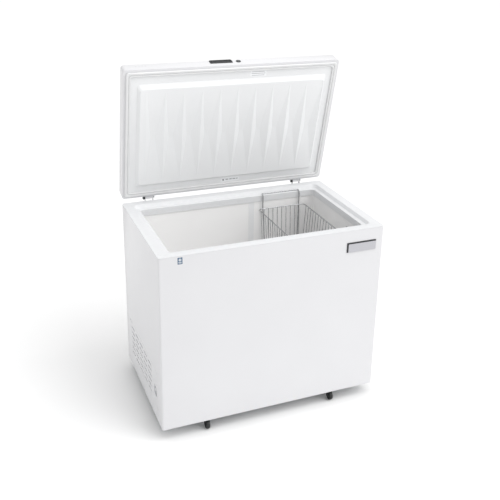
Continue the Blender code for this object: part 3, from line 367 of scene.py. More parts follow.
def spun(shape, profile, segments, matrix):
    # turns a profile of (radius, height) points round Z, then puts it in place
    points = [shape.verts.new((radius, 0, height)) for radius, height in profile]
    edges = [shape.edges.new(pair) for pair in zip(points, points[1:])]
    if profile[0][0] and profile[-1][0]:
        edges.append(shape.edges.new((points[-1], points[0])))
    bmesh.ops.spin(shape, geom=points + edges, axis=(0, 0, 1), cent=(0, 0, 0), angle=2 * math.pi,
                   steps=segments, use_merge=True)
    bmesh.ops.remove_doubles(shape, verts=shape.verts, dist=1e-6)
    bmesh.ops.recalc_face_normals(shape, faces=shape.faces)
    bmesh.ops.transform(shape, matrix=matrix, verts=shape.verts)


def cadCopy(node):
    # the node's loose triangles, joined up and with flat areas merged
    shape = bmesh.new()
    shape.from_mesh(frame["nodes"][node].data)
    bmesh.ops.remove_doubles(shape, verts=shape.verts, dist=2e-6)
    bmesh.ops.dissolve_limit(shape, angle_limit=math.radians(1), verts=shape.verts, edges=shape.edges)
    return shape


def refine(nodeName, body, node, bevel, angle=40):
    # the node again in its own finish, merged and with its edges rounded
    made = finish(cadCopy(nodeName), nodeName + "_fine", body, "enamel", None, bevel, 2, angle, 40)
    made.data.materials.clear()
    made.data.materials.append(node.data.materials[0])
    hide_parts(nodeName)
    return made


def rounded(corners, radius, steps=4):
    # the route through these points, each bend drawn as an arc
    points = [Vector(point) for point in corners]
    route = points[:1]
    for before, corner, after in zip(points, points[1:], points[2:]):
        start = corner + (before - corner).normalized() * radius
        end = corner + (after - corner).normalized() * radius
        route += interpolate_bezier(start, start.lerp(corner, 0.55), end.lerp(corner, 0.55), end, steps + 1)
    return route + points[-1:]


def wires(name, body, finishName, routes, thickness, closed=False, sides=2):
    # round wires along these routes, made into one mesh
    curve = bpy.data.curves.new(name, "CURVE")
    curve.dimensions = "3D"
    curve.bevel_depth = thickness / 2
    curve.bevel_resolution = sides
    curve.use_fill_caps = not closed
    for route in routes:
        spline = curve.splines.new("POLY")
        spline.points.add(len(route) - 1)
        for point, position in zip(spline.points, route):
            point.co = (*position, 1)
        spline.use_cyclic_u = closed
    drawn = bpy.data.objects.new(name + "_line", curve)
    shape = bmesh.new()
    shape.from_mesh(bpy.data.meshes.new_from_object(drawn))
    bpy.data.objects.remove(drawn)
    bmesh.ops.recalc_face_normals(shape, faces=shape.faces)
    return finish(shape, name, body, finishName, smooth=60)


def flatTo(axis, point):
    # the place of a piece drawn lying down, its upper side then facing along the axis
    return Matrix.Translation(point) @ Vector(axis).to_track_quat("Z", "Y").to_matrix().to_4x4()


def plateShape(shape, width, height, thick, radius, segments=5):
    # a flat plate with round corners, from zero up to its thickness
    loops = [roundedLoop(shape, (-width / 2, -height / 2), (width / 2, height / 2), z, radius, segments)
             for z in (0, thick)]
    bridge(shape, loops, firstCap=True, lastCap=True)


def plate(name, body, finishName, matrix, width, height, thick, radius, bevel=0.0):
    shape = bmesh.new()
    plateShape(shape, width, height, thick, radius)
    return finish(shape, name, body, finishName, matrix, bevel)


def screw(name, body, finishName, matrix, radius=3.6 * mm, height=1.8 * mm):
    # pan head screw with a cross recess
    shape = bmesh.new()
    low = radius * 0.98
    spun(shape, [(0, 0), (low, 0), (radius, height * 0.35), (radius * 0.8, height * 0.8),
                 (radius * 0.42, height),
                 (radius * 0.3, height * 0.97), (0, height * 0.97)], 20, Matrix.Identity(4))
    cross = [face for face in shape.faces if face.calc_center_median().z > height * 0.96]
    turned = {v for face in cross for v in face.verts if radius * 0.2 < v.co.xy.length < radius * 0.36}
    for index, vert in enumerate(sorted(turned, key=lambda v: math.atan2(v.co.y, v.co.x))):
        vert.co.xy *= 1.6 if index % 5 == 0 else 0.55
        vert.co.z -= height * 0.3
    return finish(shape, name, body, finishName, matrix)


slotFinish = {
    "white_enamel": "enamel", "liner_enamel": "liner", "white_plastic": "styrene",
    "black_plastic": "blackAbs",
    "galvanised_steel": "zinc", "condenser_steel": "steelTube", "lock_steel": "lockSteel", "copper": "copper",
    "compressor_black": "blackPaint", "foam": "foam", "gasket_vinyl": "vinyl", "black_rubber": "rubber",
    "caster_wheel": "nylon", "chromed_wire": "chrome", "silver_plate": "silver",
}
for nodeName, node in frame["nodes"].items():
    slotName = node.data.materials[0].name.split(".")[0]
    node.data.materials.clear()
    # the rim and the small fittings are grained mouldings, the other white ones are formed sheet
    ownFinish = "whiteAbs" if nodeName in ("breaker_frame", "dial_cup", "drain_fitting",
                                           "drain_plug") else None
    node.data.materials.append(finishes[ownFinish or slotFinish[slotName]])
print("finishes on the CAD nodes")

# pressed sheet and small hardware: their own shapes with rounded edges; the machinery and pipework: their own
# shapes, merged and smooth shaded
rounding = {
    "outer_wrapper": 0.5, "breaker_frame": 1.2, "inner_liner": 3.0, "hinge_housing_left": 0.6,
    "hinge_housing_right": 0.6, "hinge_bush_left": 0.8, "hinge_bush_right": 0.8, "hinge_pin_left": 0.5,
    "hinge_pin_right": 0.5, "base_plate": 0.4, "compressor_plate": 0.6, "relay_cover": 2.0,
    "thermostat_body": 0.8, "drain_fitting": 0.6, "drain_plug": 0.8, "cord_grommet": 0.8,
    "hinge_arm_left": 0.5, "hinge_arm_right": 0.5, "lid_shell": 0.4, "lock_cam": 0.3, "lock_bezel": 0.6,
    "dial_cup": 0.3, "name_plate_back": 0.5,
}
for nodeName, width in rounding.items():
    node = frame["nodes"][nodeName]
    refine(nodeName, node["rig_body"], node, width * mm)
for nodeName in ("compressor_shell", "condenser_coil", "evaporator_coil", "discharge_tube", "suction_tube",
                 "filter_drier", "compressor_grommet_1", "compressor_grommet_2", "compressor_grommet_3",
                 "compressor_grommet_4"):
    refine(nodeName, "cabinet", frame["nodes"][nodeName], 0.0)
print("cabinet and hardware")

# grille in the left side: a plate with rows of round ended slots and the dial's round hole
grille = {
    "columns": 5, "rows": 6, "slotLength": 54 * mm, "slotHeight": 6 * mm, "pitchY": 71 * mm,
    "pitchZ": 24.5 * mm,
    "firstY": 12 * mm, "firstZ": 20 * mm, "holeRadius": 26.3 * mm, "holeMargin": 4 * mm,
    "louvreLean": -24, "louvreSetBack": 2.6 * mm,
}
low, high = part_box("machine_grille")
cupLow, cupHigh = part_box("dial_cup")
dialCentre = (cupLow + cupHigh) / 2
slots = []  # each slot's lower front corner, upper rear corner and middle
for column in range(grille["columns"]):
    for row in range(grille["rows"]):
        rearEnd = high.y - grille["firstY"] - column * grille["pitchY"]
        slotLow = (rearEnd - grille["slotLength"], low.z + grille["firstZ"] + row * grille["pitchZ"])
        slotHigh = (rearEnd, slotLow[1] + grille["slotHeight"])
        middle = (rearEnd - grille["slotLength"] / 2, slotLow[1] + grille["slotHeight"] / 2)
        nearDial = slotLow[0] < dialCentre.y + grille["holeRadius"]
        if not (nearDial and abs(middle[1] - dialCentre.z) < grille["holeRadius"] + grille["holeMargin"]):
            slots.append((slotLow, slotHigh, middle))
shape = bmesh.new()
outline = roundedLoop(shape, low.yz, high.yz, 0, 4 * mm, 4)
for slotLow, slotHigh, _ in slots:
    outline += roundedLoop(shape, slotLow, slotHigh, 0, grille["slotHeight"] / 2 * 0.98, 4)
hole = bmesh.ops.create_circle(shape, segments=40, radius=grille["holeRadius"],
                               matrix=Matrix.Translation((dialCentre.y, dialCentre.z, 0)))["verts"]
outline += list({edge for vert in hole for edge in vert.link_edges})
bmesh.ops.triangle_fill(shape, use_beauty=True, edges=outline, normal=(0, 0, 1))
bmesh.ops.recalc_face_normals(shape, faces=shape.faces)
sheetFaces = bmesh.ops.extrude_face_region(shape, geom=shape.faces[:])["geom"]
bmesh.ops.translate(shape, vec=(0, 0, low.x - high.x),
                    verts=[item for item in sheetFaces if isinstance(item, bmesh.types.BMVert)])
bmesh.ops.recalc_face_normals(shape, faces=shape.faces)
sideways = Matrix(((0, 0, 1, high.x), (1, 0, 0, 0), (0, 1, 0, 0), (0, 0, 0, 1)))
grillePlate = finish(shape, "grille_plate", "cabinet", "enamel", sideways, 0.5 * mm, 2, 60)
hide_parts("machine_grille")
shape = bmesh.new()
for _, _, middle in slots:
    blade = block(shape, (-0.4 * mm, -29 * mm, -5 * mm), (0.4 * mm, 29 * mm, 5 * mm))
    lean = Matrix.Translation((high.x + grille["louvreSetBack"], *middle)) \
        @ Matrix.Rotation(math.radians(grille["louvreLean"]), 4, "Y")
    bmesh.ops.transform(shape, matrix=lean, verts=blade)
finish(shape, "grille_louvres", "cabinet", "enamel", None, 0.2 * mm, 1)
print("grille slots", len(slots))

# thermostat knob: a disc with a raised grip bar, a mark on it, and ticks round the cup
dial = {"radius": 19 * mm, "gripLength": 32 * mm, "gripWidth": 8 * mm, "ticks": 8, "tickRadius": 22.3 * mm}
knobMatrix = flatTo((-1, 0, 0), (cupLow.x, dialCentre.y, dialCentre.z))
shape = bmesh.new()
spun(shape, [(0, -21 * mm), (3 * mm, -21 * mm), (3 * mm, -11 * mm), (dial["radius"], -11 * mm),
             (dial["radius"], -7.5 * mm), (dial["radius"] - 1.5 * mm, -6.5 * mm), (0, -6.5 * mm)], 40,
     Matrix.Identity(4))
grip = bmesh.new()
half = (dial["gripLength"] / 2, dial["gripWidth"] / 2)
loops = [roundedLoop(grip, (-half[0] + inset, -half[1] + inset), (half[0] - inset, half[1] - inset), z,
                     radius, 5)
         for inset, z, radius in ((0, -6.8 * mm, 3.4 * mm), (0.6 * mm, -2.0 * mm, 3 * mm),
                                  (1.6 * mm, -0.8 * mm, 2.2 * mm))]
bridge(grip, loops, firstCap=True, lastCap=True)
gripMesh = bpy.data.meshes.new("grip")
grip.to_mesh(gripMesh)
grip.free()
shape.from_mesh(gripMesh)
bpy.data.meshes.remove(gripMesh)
knobPiece = finish(shape, "dial_knob", "knob", "whiteAbs", knobMatrix, 0.4 * mm, 2, 40)
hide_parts("thermostat_knob")
plate("dial_pointer", "knob", "labelDark", knobMatrix @ Matrix.Translation((9 * mm, 0, -0.8 * mm)),
      9 * mm, 1.2 * mm, 0.15 * mm, 0.5 * mm)
shape = bmesh.new()
for index in range(dial["ticks"]):
    angle = math.radians(-45 + 270 * index / (dial["ticks"] - 1))
    made = block(shape, (-1.5 * mm, -0.4 * mm, 0), (1.5 * mm, 0.4 * mm, 0.12 * mm))
    turn = Matrix.Rotation(angle, 4, "Z") @ Matrix.Translation((dial["tickRadius"], 0, -11.45 * mm))
    bmesh.ops.transform(shape, matrix=turn, verts=made)
finish(shape, "dial_ticks", "cabinet", "labelDark", knobMatrix)
print("dial", dial["ticks"])

# badge: a black blank with a brushed face over it, and the little stickers; the dark border the blank shows
# along the top and left is partly its own black and partly painted shadow
# the brushed face keeps its place off centre on the blank, so the black border along the top and left is
# painted shadow as well as the blank's own colour
plateLow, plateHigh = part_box("name_plate_face")
badge = plate("badge_face", "cabinet", "silver",
              Matrix.Translation(((plateLow.x + plateHigh.x) / 2, plateHigh.y,
                                  (plateLow.z + plateHigh.z) / 2))
              @ Matrix.Rotation(math.radians(90), 4, "X"),
              plateHigh.x - plateLow.x, plateHigh.z - plateLow.z, plateHigh.y - plateLow.y, 1 * mm, 0.3 * mm)
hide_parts("name_plate_face")
stickers = {
    "front_label": ((-388 * mm, cabinet["front"], 776 * mm), (0, -1, 0), 19 * mm, 27 * mm, "labelBlue"),
    "side_label": ((cabinet["left"], 194 * mm, 276 * mm), (-1, 0, 0), 9 * mm, 7 * mm, "labelGrey"),
}
for stickerName, (point, facing, width, height, ink) in stickers.items():
    upright = Matrix.Translation(point) @ Matrix.Rotation(math.radians(-90 if facing[0] else 0), 4, "Z")
    upright = upright @ Matrix.Rotation(math.radians(90), 4, "X")
    plate(stickerName, "cabinet", ink, upright, width, height, 0.15 * mm, 1.2 * mm)
shape = bmesh.new()
spun(shape, [(2.6 * mm, 0), (4.8 * mm, 0), (4.8 * mm, 0.12 * mm), (2.6 * mm, 0.12 * mm)], 28,
     Matrix.Identity(4))
finish(shape, "front_label_ring", "cabinet", "labelPale",
       Matrix.Translation((-388 * mm, cabinet["front"] - 0.15 * mm, 780 * mm))
       @ Matrix.Rotation(math.radians(90), 4, "X"))
for index, width in enumerate((13, 10)):
    plate("front_label_line_%d" % index, "cabinet", "labelPale",
          Matrix.Translation((-388 * mm, cabinet["front"] - 0.15 * mm, (770.5 - 3.2 * index) * mm))
          @ Matrix.Rotation(math.radians(90), 4, "X"), width * mm, 1.3 * mm, 0.1 * mm, 0.4 * mm)
print("badge and labels")

# lining: a strip up the back wall, partly a joint cover and partly painted reflection of the light band
# there, and the screws of the hinges, ledge and base
linerLow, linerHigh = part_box("inner_liner")
backWall = linerHigh.y - 1.0 * mm
# this strip stands for a light band on the back wall: partly a joint cover strip, partly painted reflection
plate("liner_joint_strip", "cabinet", "styrene",
      Matrix.Translation((102.5 * mm, backWall, (linerLow.z + linerHigh.z) / 2))
      @ Matrix.Rotation(math.radians(90), 4, "X"), 26 * mm, linerHigh.z - linerLow.z - 12 * mm, 0.8 * mm,
      2 * mm,
      0.3 * mm)
fixings = {  # all in millimetres
    "hingeX": 350, "hingeAcross": 24, "hingeHeights": (690, 720, 745), "ledgeX": -38, "ledgePitch": 12,
    "ledgeY": 263, "baseX": (-250, -110, 110, 250), "baseFront": -314, "baseBack": 261, "baseHeight": 52,
    "grille": ((-251, 114), (178, 114), (178, 272), (-251, 272)),
}
screwPlaces = []
for side, tag in ((-1, "left"), (1, "right")):
    for step, height in enumerate(fixings["hingeHeights"]):
        for across in (-1, 1):
            x = side * fixings["hingeX"] * mm + across * fixings["hingeAcross"] * mm
            point = (x, cabinet["back"], height * mm)
            screwPlaces.append(("hinge_screw_%s_%d_%d" % (tag, step, across + 1), point, (0, 1, 0), 3.4))
    for step in (0, 1):
        x = (side * fixings["hingeX"] + fixings["ledgeX"] + step * fixings["ledgePitch"]) * mm
        point = (x, fixings["ledgeY"] * mm, cabinet["top"])  # behind the seal
        screwPlaces.append(("ledge_screw_%s_%d" % (tag, step), point, (0, 0, 1), 2.6))
for step, across in enumerate(fixings["baseX"]):
    for edge, y in (("front", fixings["baseFront"]), ("back", fixings["baseBack"])):
        point = (across * mm, y * mm, fixings["baseHeight"] * mm)
        screwPlaces.append(("base_screw_%s_%d" % (edge, step), point, (0, 0, -1), 3.6))
for step, (y, z) in enumerate(fixings["grille"]):
    screwPlaces.append(("grille_screw_%d" % step, (cabinet["left"], y * mm, z * mm), (-1, 0, 0), 2.6))
for screwName, point, facing, radius in screwPlaces:
    onSkin = not screwName.startswith("base")
    screw(screwName, "cabinet", "enamel" if onSkin else "zinc", flatTo(facing, point), radius * mm,
          radius * mm * 0.42)
print("screws", len(screwPlaces))

# hinge springs: one round wire wound up
spring = {"turns": 11, "radius": 6.4 * mm, "wire": 2.2 * mm, "perTurn": 20}
for tag in ("left", "right"):
    low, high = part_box("hinge_spring_" + tag)
    centre = (low + high) / 2
    count = spring["turns"] * spring["perTurn"]
    bottom = low.z + spring["wire"] / 2 + 0.5 * mm
    rise = high.z - low.z - spring["wire"] - 1 * mm
    coil = []
    for i in range(count + 1):
        angle = 2 * math.pi * i / spring["perTurn"]
        share = i / count
        closedEnds = 0.5 - 0.5 * math.cos(math.pi * share)
        up = bottom + rise * (0.75 * share + 0.25 * closedEnds)
        coil.append((centre.x + spring["radius"] * math.cos(angle),
                     centre.y + spring["radius"] * math.sin(angle), up))
    piece = wires("hinge_coil_" + tag, "cabinet", "zinc", [coil], spring["wire"])
    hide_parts("hinge_spring_" + tag)
print("hinge springs", spring["turns"])


def lidLoop(shape, inset, z, radius=None, frontInset=None, rearInset=None, segments=6):
    # the lid's outline drawn in from its edges, in the shut lid's own measure
    front = lid["front"] + (inset if frontInset is None else frontInset)
    rear = lid["rear"] - (inset if rearInset is None else rearInset)
    across = lid["halfWidth"] - inset
    return roundedLoop(shape, (-across, front), (across, rear), z,
                       lid["corner"] if radius is None else radius,
                       segments)


# inner panel: flat margin, raised plug with sloping sides, and ten folded flutes
panel = {
    "edge": 12.3 * mm, "plugInset": 55 * mm, "slope": 12.5 * mm, "frontInset": 62.5 * mm,
    "frontSlope": 20 * mm,
    "rearInset": 56 * mm, "depth": 12 * mm, "corner": 9 * mm, "flutes": 10, "firstRidge": -376.5 * mm,
    "pitch": 77.8 * mm, "fold": (22 * mm, 40 * mm), "fluteDepth": 8 * mm, "border": 9 * mm, "skin": 1.6 * mm,
}
faceLevel = lid["low"] - panel["depth"]
plugOuter = lid["halfWidth"] - panel["plugInset"]
plugInner = plugOuter - panel["slope"]
rows = (lid["front"] + panel["frontInset"] + panel["frontSlope"] + panel["border"],
        lid["rear"] - panel["rearInset"] - panel["slope"] - panel["border"])
shape = bmesh.new()
columns = 3 * panel["flutes"]
grid = bmesh.ops.create_grid(shape, x_segments=columns, y_segments=2, size=1.0)["verts"]
for vert in grid:
    station = round((vert.co.x + 1) / 2 * columns)
    level = round(vert.co.y)
    flute, part = divmod(station, 3)
    ridge = panel["firstRidge"] + flute * panel["pitch"]
    middle = level == 0 and part
    along = panel["fold"][part - 1] if middle else (panel["pitch"] if part == 2 else 0)
    vert.co = (ridge + along, rows[0] + (rows[1] - rows[0]) * (level + 1) / 2,
               faceLevel + (panel["fluteDepth"] if middle else 0))
bmesh.ops.remove_doubles(shape, verts=shape.verts, dist=1e-5)


def growEdge(shape, left, right, front, rear, z):
    # draws the sheet's border out to a new rectangle
    border = [edge for edge in shape.edges if edge.is_boundary]
    corners = [vert.co.copy() for edge in border for vert in edge.verts]
    lowX, highX = min(c.x for c in corners), max(c.x for c in corners)
    lowY, highY = min(c.y for c in corners), max(c.y for c in corners)
    made = bmesh.ops.extrude_edge_only(shape, edges=border)["geom"]
    for vert in [item for item in made if isinstance(item, bmesh.types.BMVert)]:
        x, y, _ = vert.co
        newX = left if abs(x - lowX) < 1e-5 else right if abs(x - highX) < 1e-5 else x
        newY = front if abs(y - lowY) < 1e-5 else rear if abs(y - highY) < 1e-5 else y
        vert.co = (newX, newY, z)


frontOuter = lid["front"] + panel["frontInset"]
rearOuter = lid["rear"] - panel["rearInset"]
growEdge(shape, -plugInner, plugInner, frontOuter + panel["frontSlope"], rearOuter - panel["slope"],
         faceLevel)
growEdge(shape, -plugOuter, plugOuter, frontOuter, rearOuter, lid["low"])
margin = lid["halfWidth"] - panel["edge"]
growEdge(shape, -margin, margin, lid["front"] + panel["edge"], lid["rear"] - panel["edge"], lid["low"])
cornerEdges = [edge for edge in shape.edges
               if {round(v.co.z, 5) for v in edge.verts} == {round(faceLevel, 5), round(lid["low"], 5)}
               and all(abs(v.co.x) > plugInner - 1e-4 for v in edge.verts)






               and all(v.co.y < frontOuter + panel["frontSlope"] + 1e-4
                       or v.co.y > rearOuter - panel["slope"] - 1e-4
                       for v in edge.verts)]
bmesh.ops.bevel(shape, geom=cornerEdges, offset=panel["corner"], offset_type="OFFSET", segments=5,
                profile=0.5,
                affect="EDGES", material=-1)
bmesh.ops.recalc_face_normals(shape, faces=shape.faces)
middleFace = min(shape.faces, key=lambda f: f.calc_center_median().z)
if middleFace.normal.z > 0:
    bmesh.ops.reverse_faces(shape, faces=shape.faces)
bmesh.ops.transform(shape, matrix=lidOpen, verts=shape.verts)
panelPiece = finish(shape, "lid_panel", "lid", "styrene")
thick = panelPiece.modifiers.new("sheet", "SOLIDIFY")
thick.thickness = panel["skin"]
thick.offset = -1
soft = panelPiece.modifiers.new("folds", "BEVEL")
soft.width = 1.4 * mm
soft.segments = 2
soft.limit_method = "ANGLE"
soft.angle_limit = math.radians(3.5)
soft.harden_normals = True
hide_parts("lid_liner")
print("lid panel flutes", panel["flutes"])

# foam core: the CAD's block with the front of its plug drawn in behind the panel's longer slope
shape = cadCopy("lid_foam")
bmesh.ops.transform(shape, matrix=lidOpen.inverted(), verts=shape.verts)
for vert in shape.verts:
    if vert.co.z < lid["low"] + 3 * mm and lid["front"] + 30 * mm < vert.co.y < lid["front"] + 80 * mm:
        onPlug = vert.co.z < lid["low"] - 3 * mm
        vert.co.y += (panel["frontInset"] - 50 * mm) + (8 * mm if onPlug else 1 * mm)
    if vert.co.z < lid["low"] + 3 * mm and 300 * mm < abs(vert.co.x) < 425 * mm:
        vert.co.x -= math.copysign(5.5 * mm, vert.co.x)
    if vert.co.z < lid["low"] + 3 * mm and -80 * mm < vert.co.y < -40 * mm:
        vert.co.y -= 7 * mm
    if vert.co.z < lid["low"] - 3 * mm:
        vert.co.z = faceLevel + panel["fluteDepth"] + panel["skin"] + 0.6 * mm  # clear of the folds
core = finish(shape, "lid_foam_core", "lid", "foam", lidOpen)
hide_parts("lid_foam")

# gasket: a soft strip with a magnet bead, a groove and a wiper bead
gasket = {"inset": 10 * mm, "profile": (
    (1.0, -0.3), (0.1, -2.0), (0.0, -5.6), (1.2, -7.2), (3.0, -7.7), (8.0, -7.6), (9.6, -6.8), (10.2, -4.2),
    (11.6, -4.3), (12.2, -6.4), (13.4, -7.0), (16.4, -6.9), (18.2, -6.0), (19.0, -3.4), (18.2, -0.6))}
shape = bmesh.new()
loops = [lidLoop(shape, gasket["inset"] + inset * mm, lid["low"] + z * mm) for inset, z in gasket["profile"]]
bridge(shape, loops, ring=True)
gasketPiece = finish(shape, "lid_seal", "lid", "vinyl", lidOpen, 0, smooth=50)
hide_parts("lid_gasket")
print("gasket", len(gasket["profile"]))

# pull: a lipped cup let into the front edge, with a rolled finger lip along its top
handle = {"low": -106 * mm, "high": -10 * mm, "top": 48 * mm, "height": 28 * mm}
middleX = (handle["low"] + handle["high"]) / 2
middleZ = handle["top"] - handle["height"] / 2
halfX, halfZ = (handle["high"] - handle["low"]) / 2, handle["height"] / 2
shape = bmesh.new()
# (inset from the outside, distance in from the lid's front edge)
cup = ((0.2, 17.0), (0.2, 0.3), (0.0, -0.2), (0.2, -2.2), (1.0, -2.9), (2.0, -2.9), (2.8, -1.8), (3.4, 6.0),
       (5.0, 12.6), (7.0, 14.2))
loops = [roundedLoop(shape, (-halfX + inset * mm, -halfZ + inset * mm),
                     (halfX - inset * mm, halfZ - inset * mm),
                     depth * mm, 5 * mm if inset < 3 else 4 * mm, 6) for inset, depth in cup]
bridge(shape, loops, firstCap=True, lastCap=True)
intoLid = Matrix(((1, 0, 0, middleX), (0, 0, 1, lid["front"]), (0, 1, 0, middleZ), (0, 0, 0, 1)))
bmesh.ops.transform(shape, matrix=intoLid, verts=shape.verts)
bmesh.ops.recalc_face_normals(shape, faces=shape.faces)
handlePiece = finish(shape, "lid_pull", "lid", "blackAbs", lidOpen, 0.3 * mm, 2, 50)
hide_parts("lid_handle")

# lock: the barrel with a bright ring, and a thin black block on its face for the key slot, which is painted
# shade
lock = {"x": 16.5 * mm, "rise": 33 * mm, "barrel": 6.5 * mm, "length": 27 * mm}
lockMatrix = Matrix.Translation((lock["x"], lid["front"], lid["low"] + lock["rise"])) \
    @ Matrix.Rotation(math.radians(-90), 4, "X")
shape = bmesh.new()
spun(shape, [(0, -1.2 * mm), (2.6 * mm, -1.2 * mm), (3.0 * mm, -2.0 * mm), (5.9 * mm, -2.0 * mm),
             (lock["barrel"], -1.5 * mm), (lock["barrel"], 24 * mm), (3 * mm, 24 * mm),
             (3 * mm, lock["length"]),
             (0, lock["length"])], 32, lidOpen @ lockMatrix)
barrel = finish(shape, "lock_core", "lock", "lockSteel", None, 0.2 * mm, 2, 40)
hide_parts("lock_barrel")
shape = bmesh.new()
# key slot: a thin black block on the barrel's face, painted shade standing for the dark hollow of the keyway
block(shape, (-0.6 * mm, -2.4 * mm, -1.35 * mm), (0.6 * mm, 2.4 * mm, -1.15 * mm))
finish(shape, "lock_keyway_painted_shade", "lock", "blackPaint", lidOpen @ lockMatrix, 0.05 * mm)

# light marks on the lid's front edge and two small labels on its panel
for index, x in enumerate((-412, -399, -386, -373)):
    plate("lid_edge_mark_%d" % index, "lid", "labelGrey",
          lidOpen @ Matrix.Translation((x * mm, lid["front"], 30 * mm))
          @ Matrix.Rotation(math.radians(90), 4, "X"),
          7 * mm, 1.6 * mm, 0.1 * mm, 0.6 * mm)
frontFlat = lid["front"] + 39 * mm
for index in range(4):
    plate("panel_label_line_%d" % index, "lid", "labelGrey",
          lidOpen @ Matrix.Translation(((98 - index % 2) * mm, frontFlat + 8 * mm * (index - 1.5),
                                        lid["low"]))
          @ Matrix.Rotation(math.radians(180), 4, "X"),
          (62 - 5 * (index % 2)) * mm, 2.2 * mm, 0.12 * mm, 0.6 * mm)
plate("panel_label_sheet", "lid", "labelPale",
      lidOpen @ Matrix.Translation((98 * mm, frontFlat, lid["low"] + 0.05 * mm))
      @ Matrix.Rotation(math.radians(180), 4, "X"), 70 * mm, 32 * mm, 0.1 * mm, 1.5 * mm)
lowLabel = lidOpen @ Matrix.Translation((17 * mm, lid["rear"] - 43 * mm, lid["low"])) \
    @ Matrix.Rotation(math.radians(180), 4, "X")
plate("low_label_sheet", "lid", "labelPale", lowLabel, 84 * mm, 20 * mm, 0.1 * mm, 1.5 * mm)
shape = bmesh.new()
bmesh.ops.create_cone(shape, cap_ends=True, segments=3, radius1=6 * mm, radius2=6 * mm, depth=0.12 * mm)
finish(shape, "low_label_mark", "lid", "labelDark",
       lowLabel @ Matrix.Translation((-32 * mm, -1 * mm, 0.15 * mm))
       @ Matrix.Rotation(math.radians(90), 4, "Z"))
for index, (x, width) in enumerate(((-14, 14), (3, 12), (19, 14), (33, 8))):
    plate("low_label_line_%d" % index, "lid", "labelGrey", lowLabel
          @ Matrix.Translation((x * mm, 0, 0.1 * mm)),
          width * mm, 5 * mm, 0.1 * mm, 0.8 * mm)
print("lid parts")

# basket: round wire bars on a rim, hung by two bent wires
basket = {"taper": 13 * mm, "corner": 16 * mm, "bar": 3 * mm, "rim": 4.6 * mm, "hanger": 5.6 * mm,
          "sideBars": 16, "endBars": 9}
basketLow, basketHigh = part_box("basket_wires")
inner = basket["rim"] / 2
rimZ = basketHigh.z - inner


def basketRing(z, inset, radius):
    # a closed ring round the basket at one height, drawn in as the sides taper
    draw = basket["taper"] * (basketHigh.z - z) / (basketHigh.z - basketLow.z) + inset
    left, right = basketLow.x + draw, basketHigh.x - draw
    front, back = basketLow.y + draw, basketHigh.y - draw
    middle = (left + right) / 2
    corners = [(middle, front, z), (right, front, z), (right, back, z), (left, back, z), (left, front, z),
               (middle, front, z)]
    return rounded(corners, radius, 6)[:-1]


rings = [basketRing(rimZ, inner, basket["corner"])]
wires("basket_rim", "basket", "chrome", rings, basket["rim"], True, 3)
floorZ = basketLow.z + basket["bar"] / 2
wires("basket_foot", "basket", "chrome", [basketRing(floorZ + basket["bar"], basket["bar"] + 1 * mm,
                                                     12 * mm)],
      basket["bar"] * 1.3, True, 3)
routes = []
topIn = inner + basket["bar"] * 0.5
footIn = basket["taper"] + basket["bar"] * 0.5
spanY = (basketLow.y + basket["taper"] + 16 * mm, basketHigh.y - basket["taper"] - 16 * mm)
for index in range(basket["sideBars"]):
    y = spanY[0] + (spanY[1] - spanY[0]) * index / (basket["sideBars"] - 1)
    routes.append(rounded([(basketLow.x + topIn, y, rimZ), (basketLow.x + footIn, y, floorZ),
                           (basketHigh.x - footIn, y, floorZ), (basketHigh.x - topIn, y, rimZ)], 9 * mm, 3))
spanX = (basketLow.x + basket["taper"] + 15 * mm, basketHigh.x - basket["taper"] - 15 * mm)
upper = floorZ + basket["bar"] * 0.9
for index in range(basket["endBars"]):
    x = spanX[0] + (spanX[1] - spanX[0]) * index / (basket["endBars"] - 1)
    routes.append(rounded([(x, basketLow.y + topIn, rimZ), (x, basketLow.y + footIn, upper),
                           (x, basketHigh.y - footIn, upper), (x, basketHigh.y - topIn, rimZ)], 9 * mm, 3))
bars = wires("basket_bars", "basket", "chrome", routes, basket["bar"], False, 2)
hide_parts("basket_wires")
for tag in ("front", "back"):
    low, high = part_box("basket_hanger_" + tag)
    radius = basket["hanger"] / 2
    inside, outside, away = (high.y, low.y, -1) if tag == "front" else (low.y, high.y, 1)
    step = away * radius
    legTop, hook, legLow = inside + away * 13 * mm, outside - step, inside + step
    topZ = high.z - radius
    left, right = low.x + radius, high.x - radius
    route = rounded([(left + 8 * mm, legLow, low.z + 1 * mm), (left, legTop + step, basketHigh.z),
                     (left, legTop + step, topZ), (left, hook, topZ), (right, hook, topZ),
                     (right, legTop + step, topZ), (right, legTop + step, basketHigh.z),
                     (right - 8 * mm, legLow, low.z + 1 * mm)], 7 * mm, 5)
    piece = wires("basket_hook_" + tag, "basket", "chrome", [route], basket["hanger"], False, 3)
    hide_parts("basket_hanger_" + tag)
print("basket bars", len(routes))

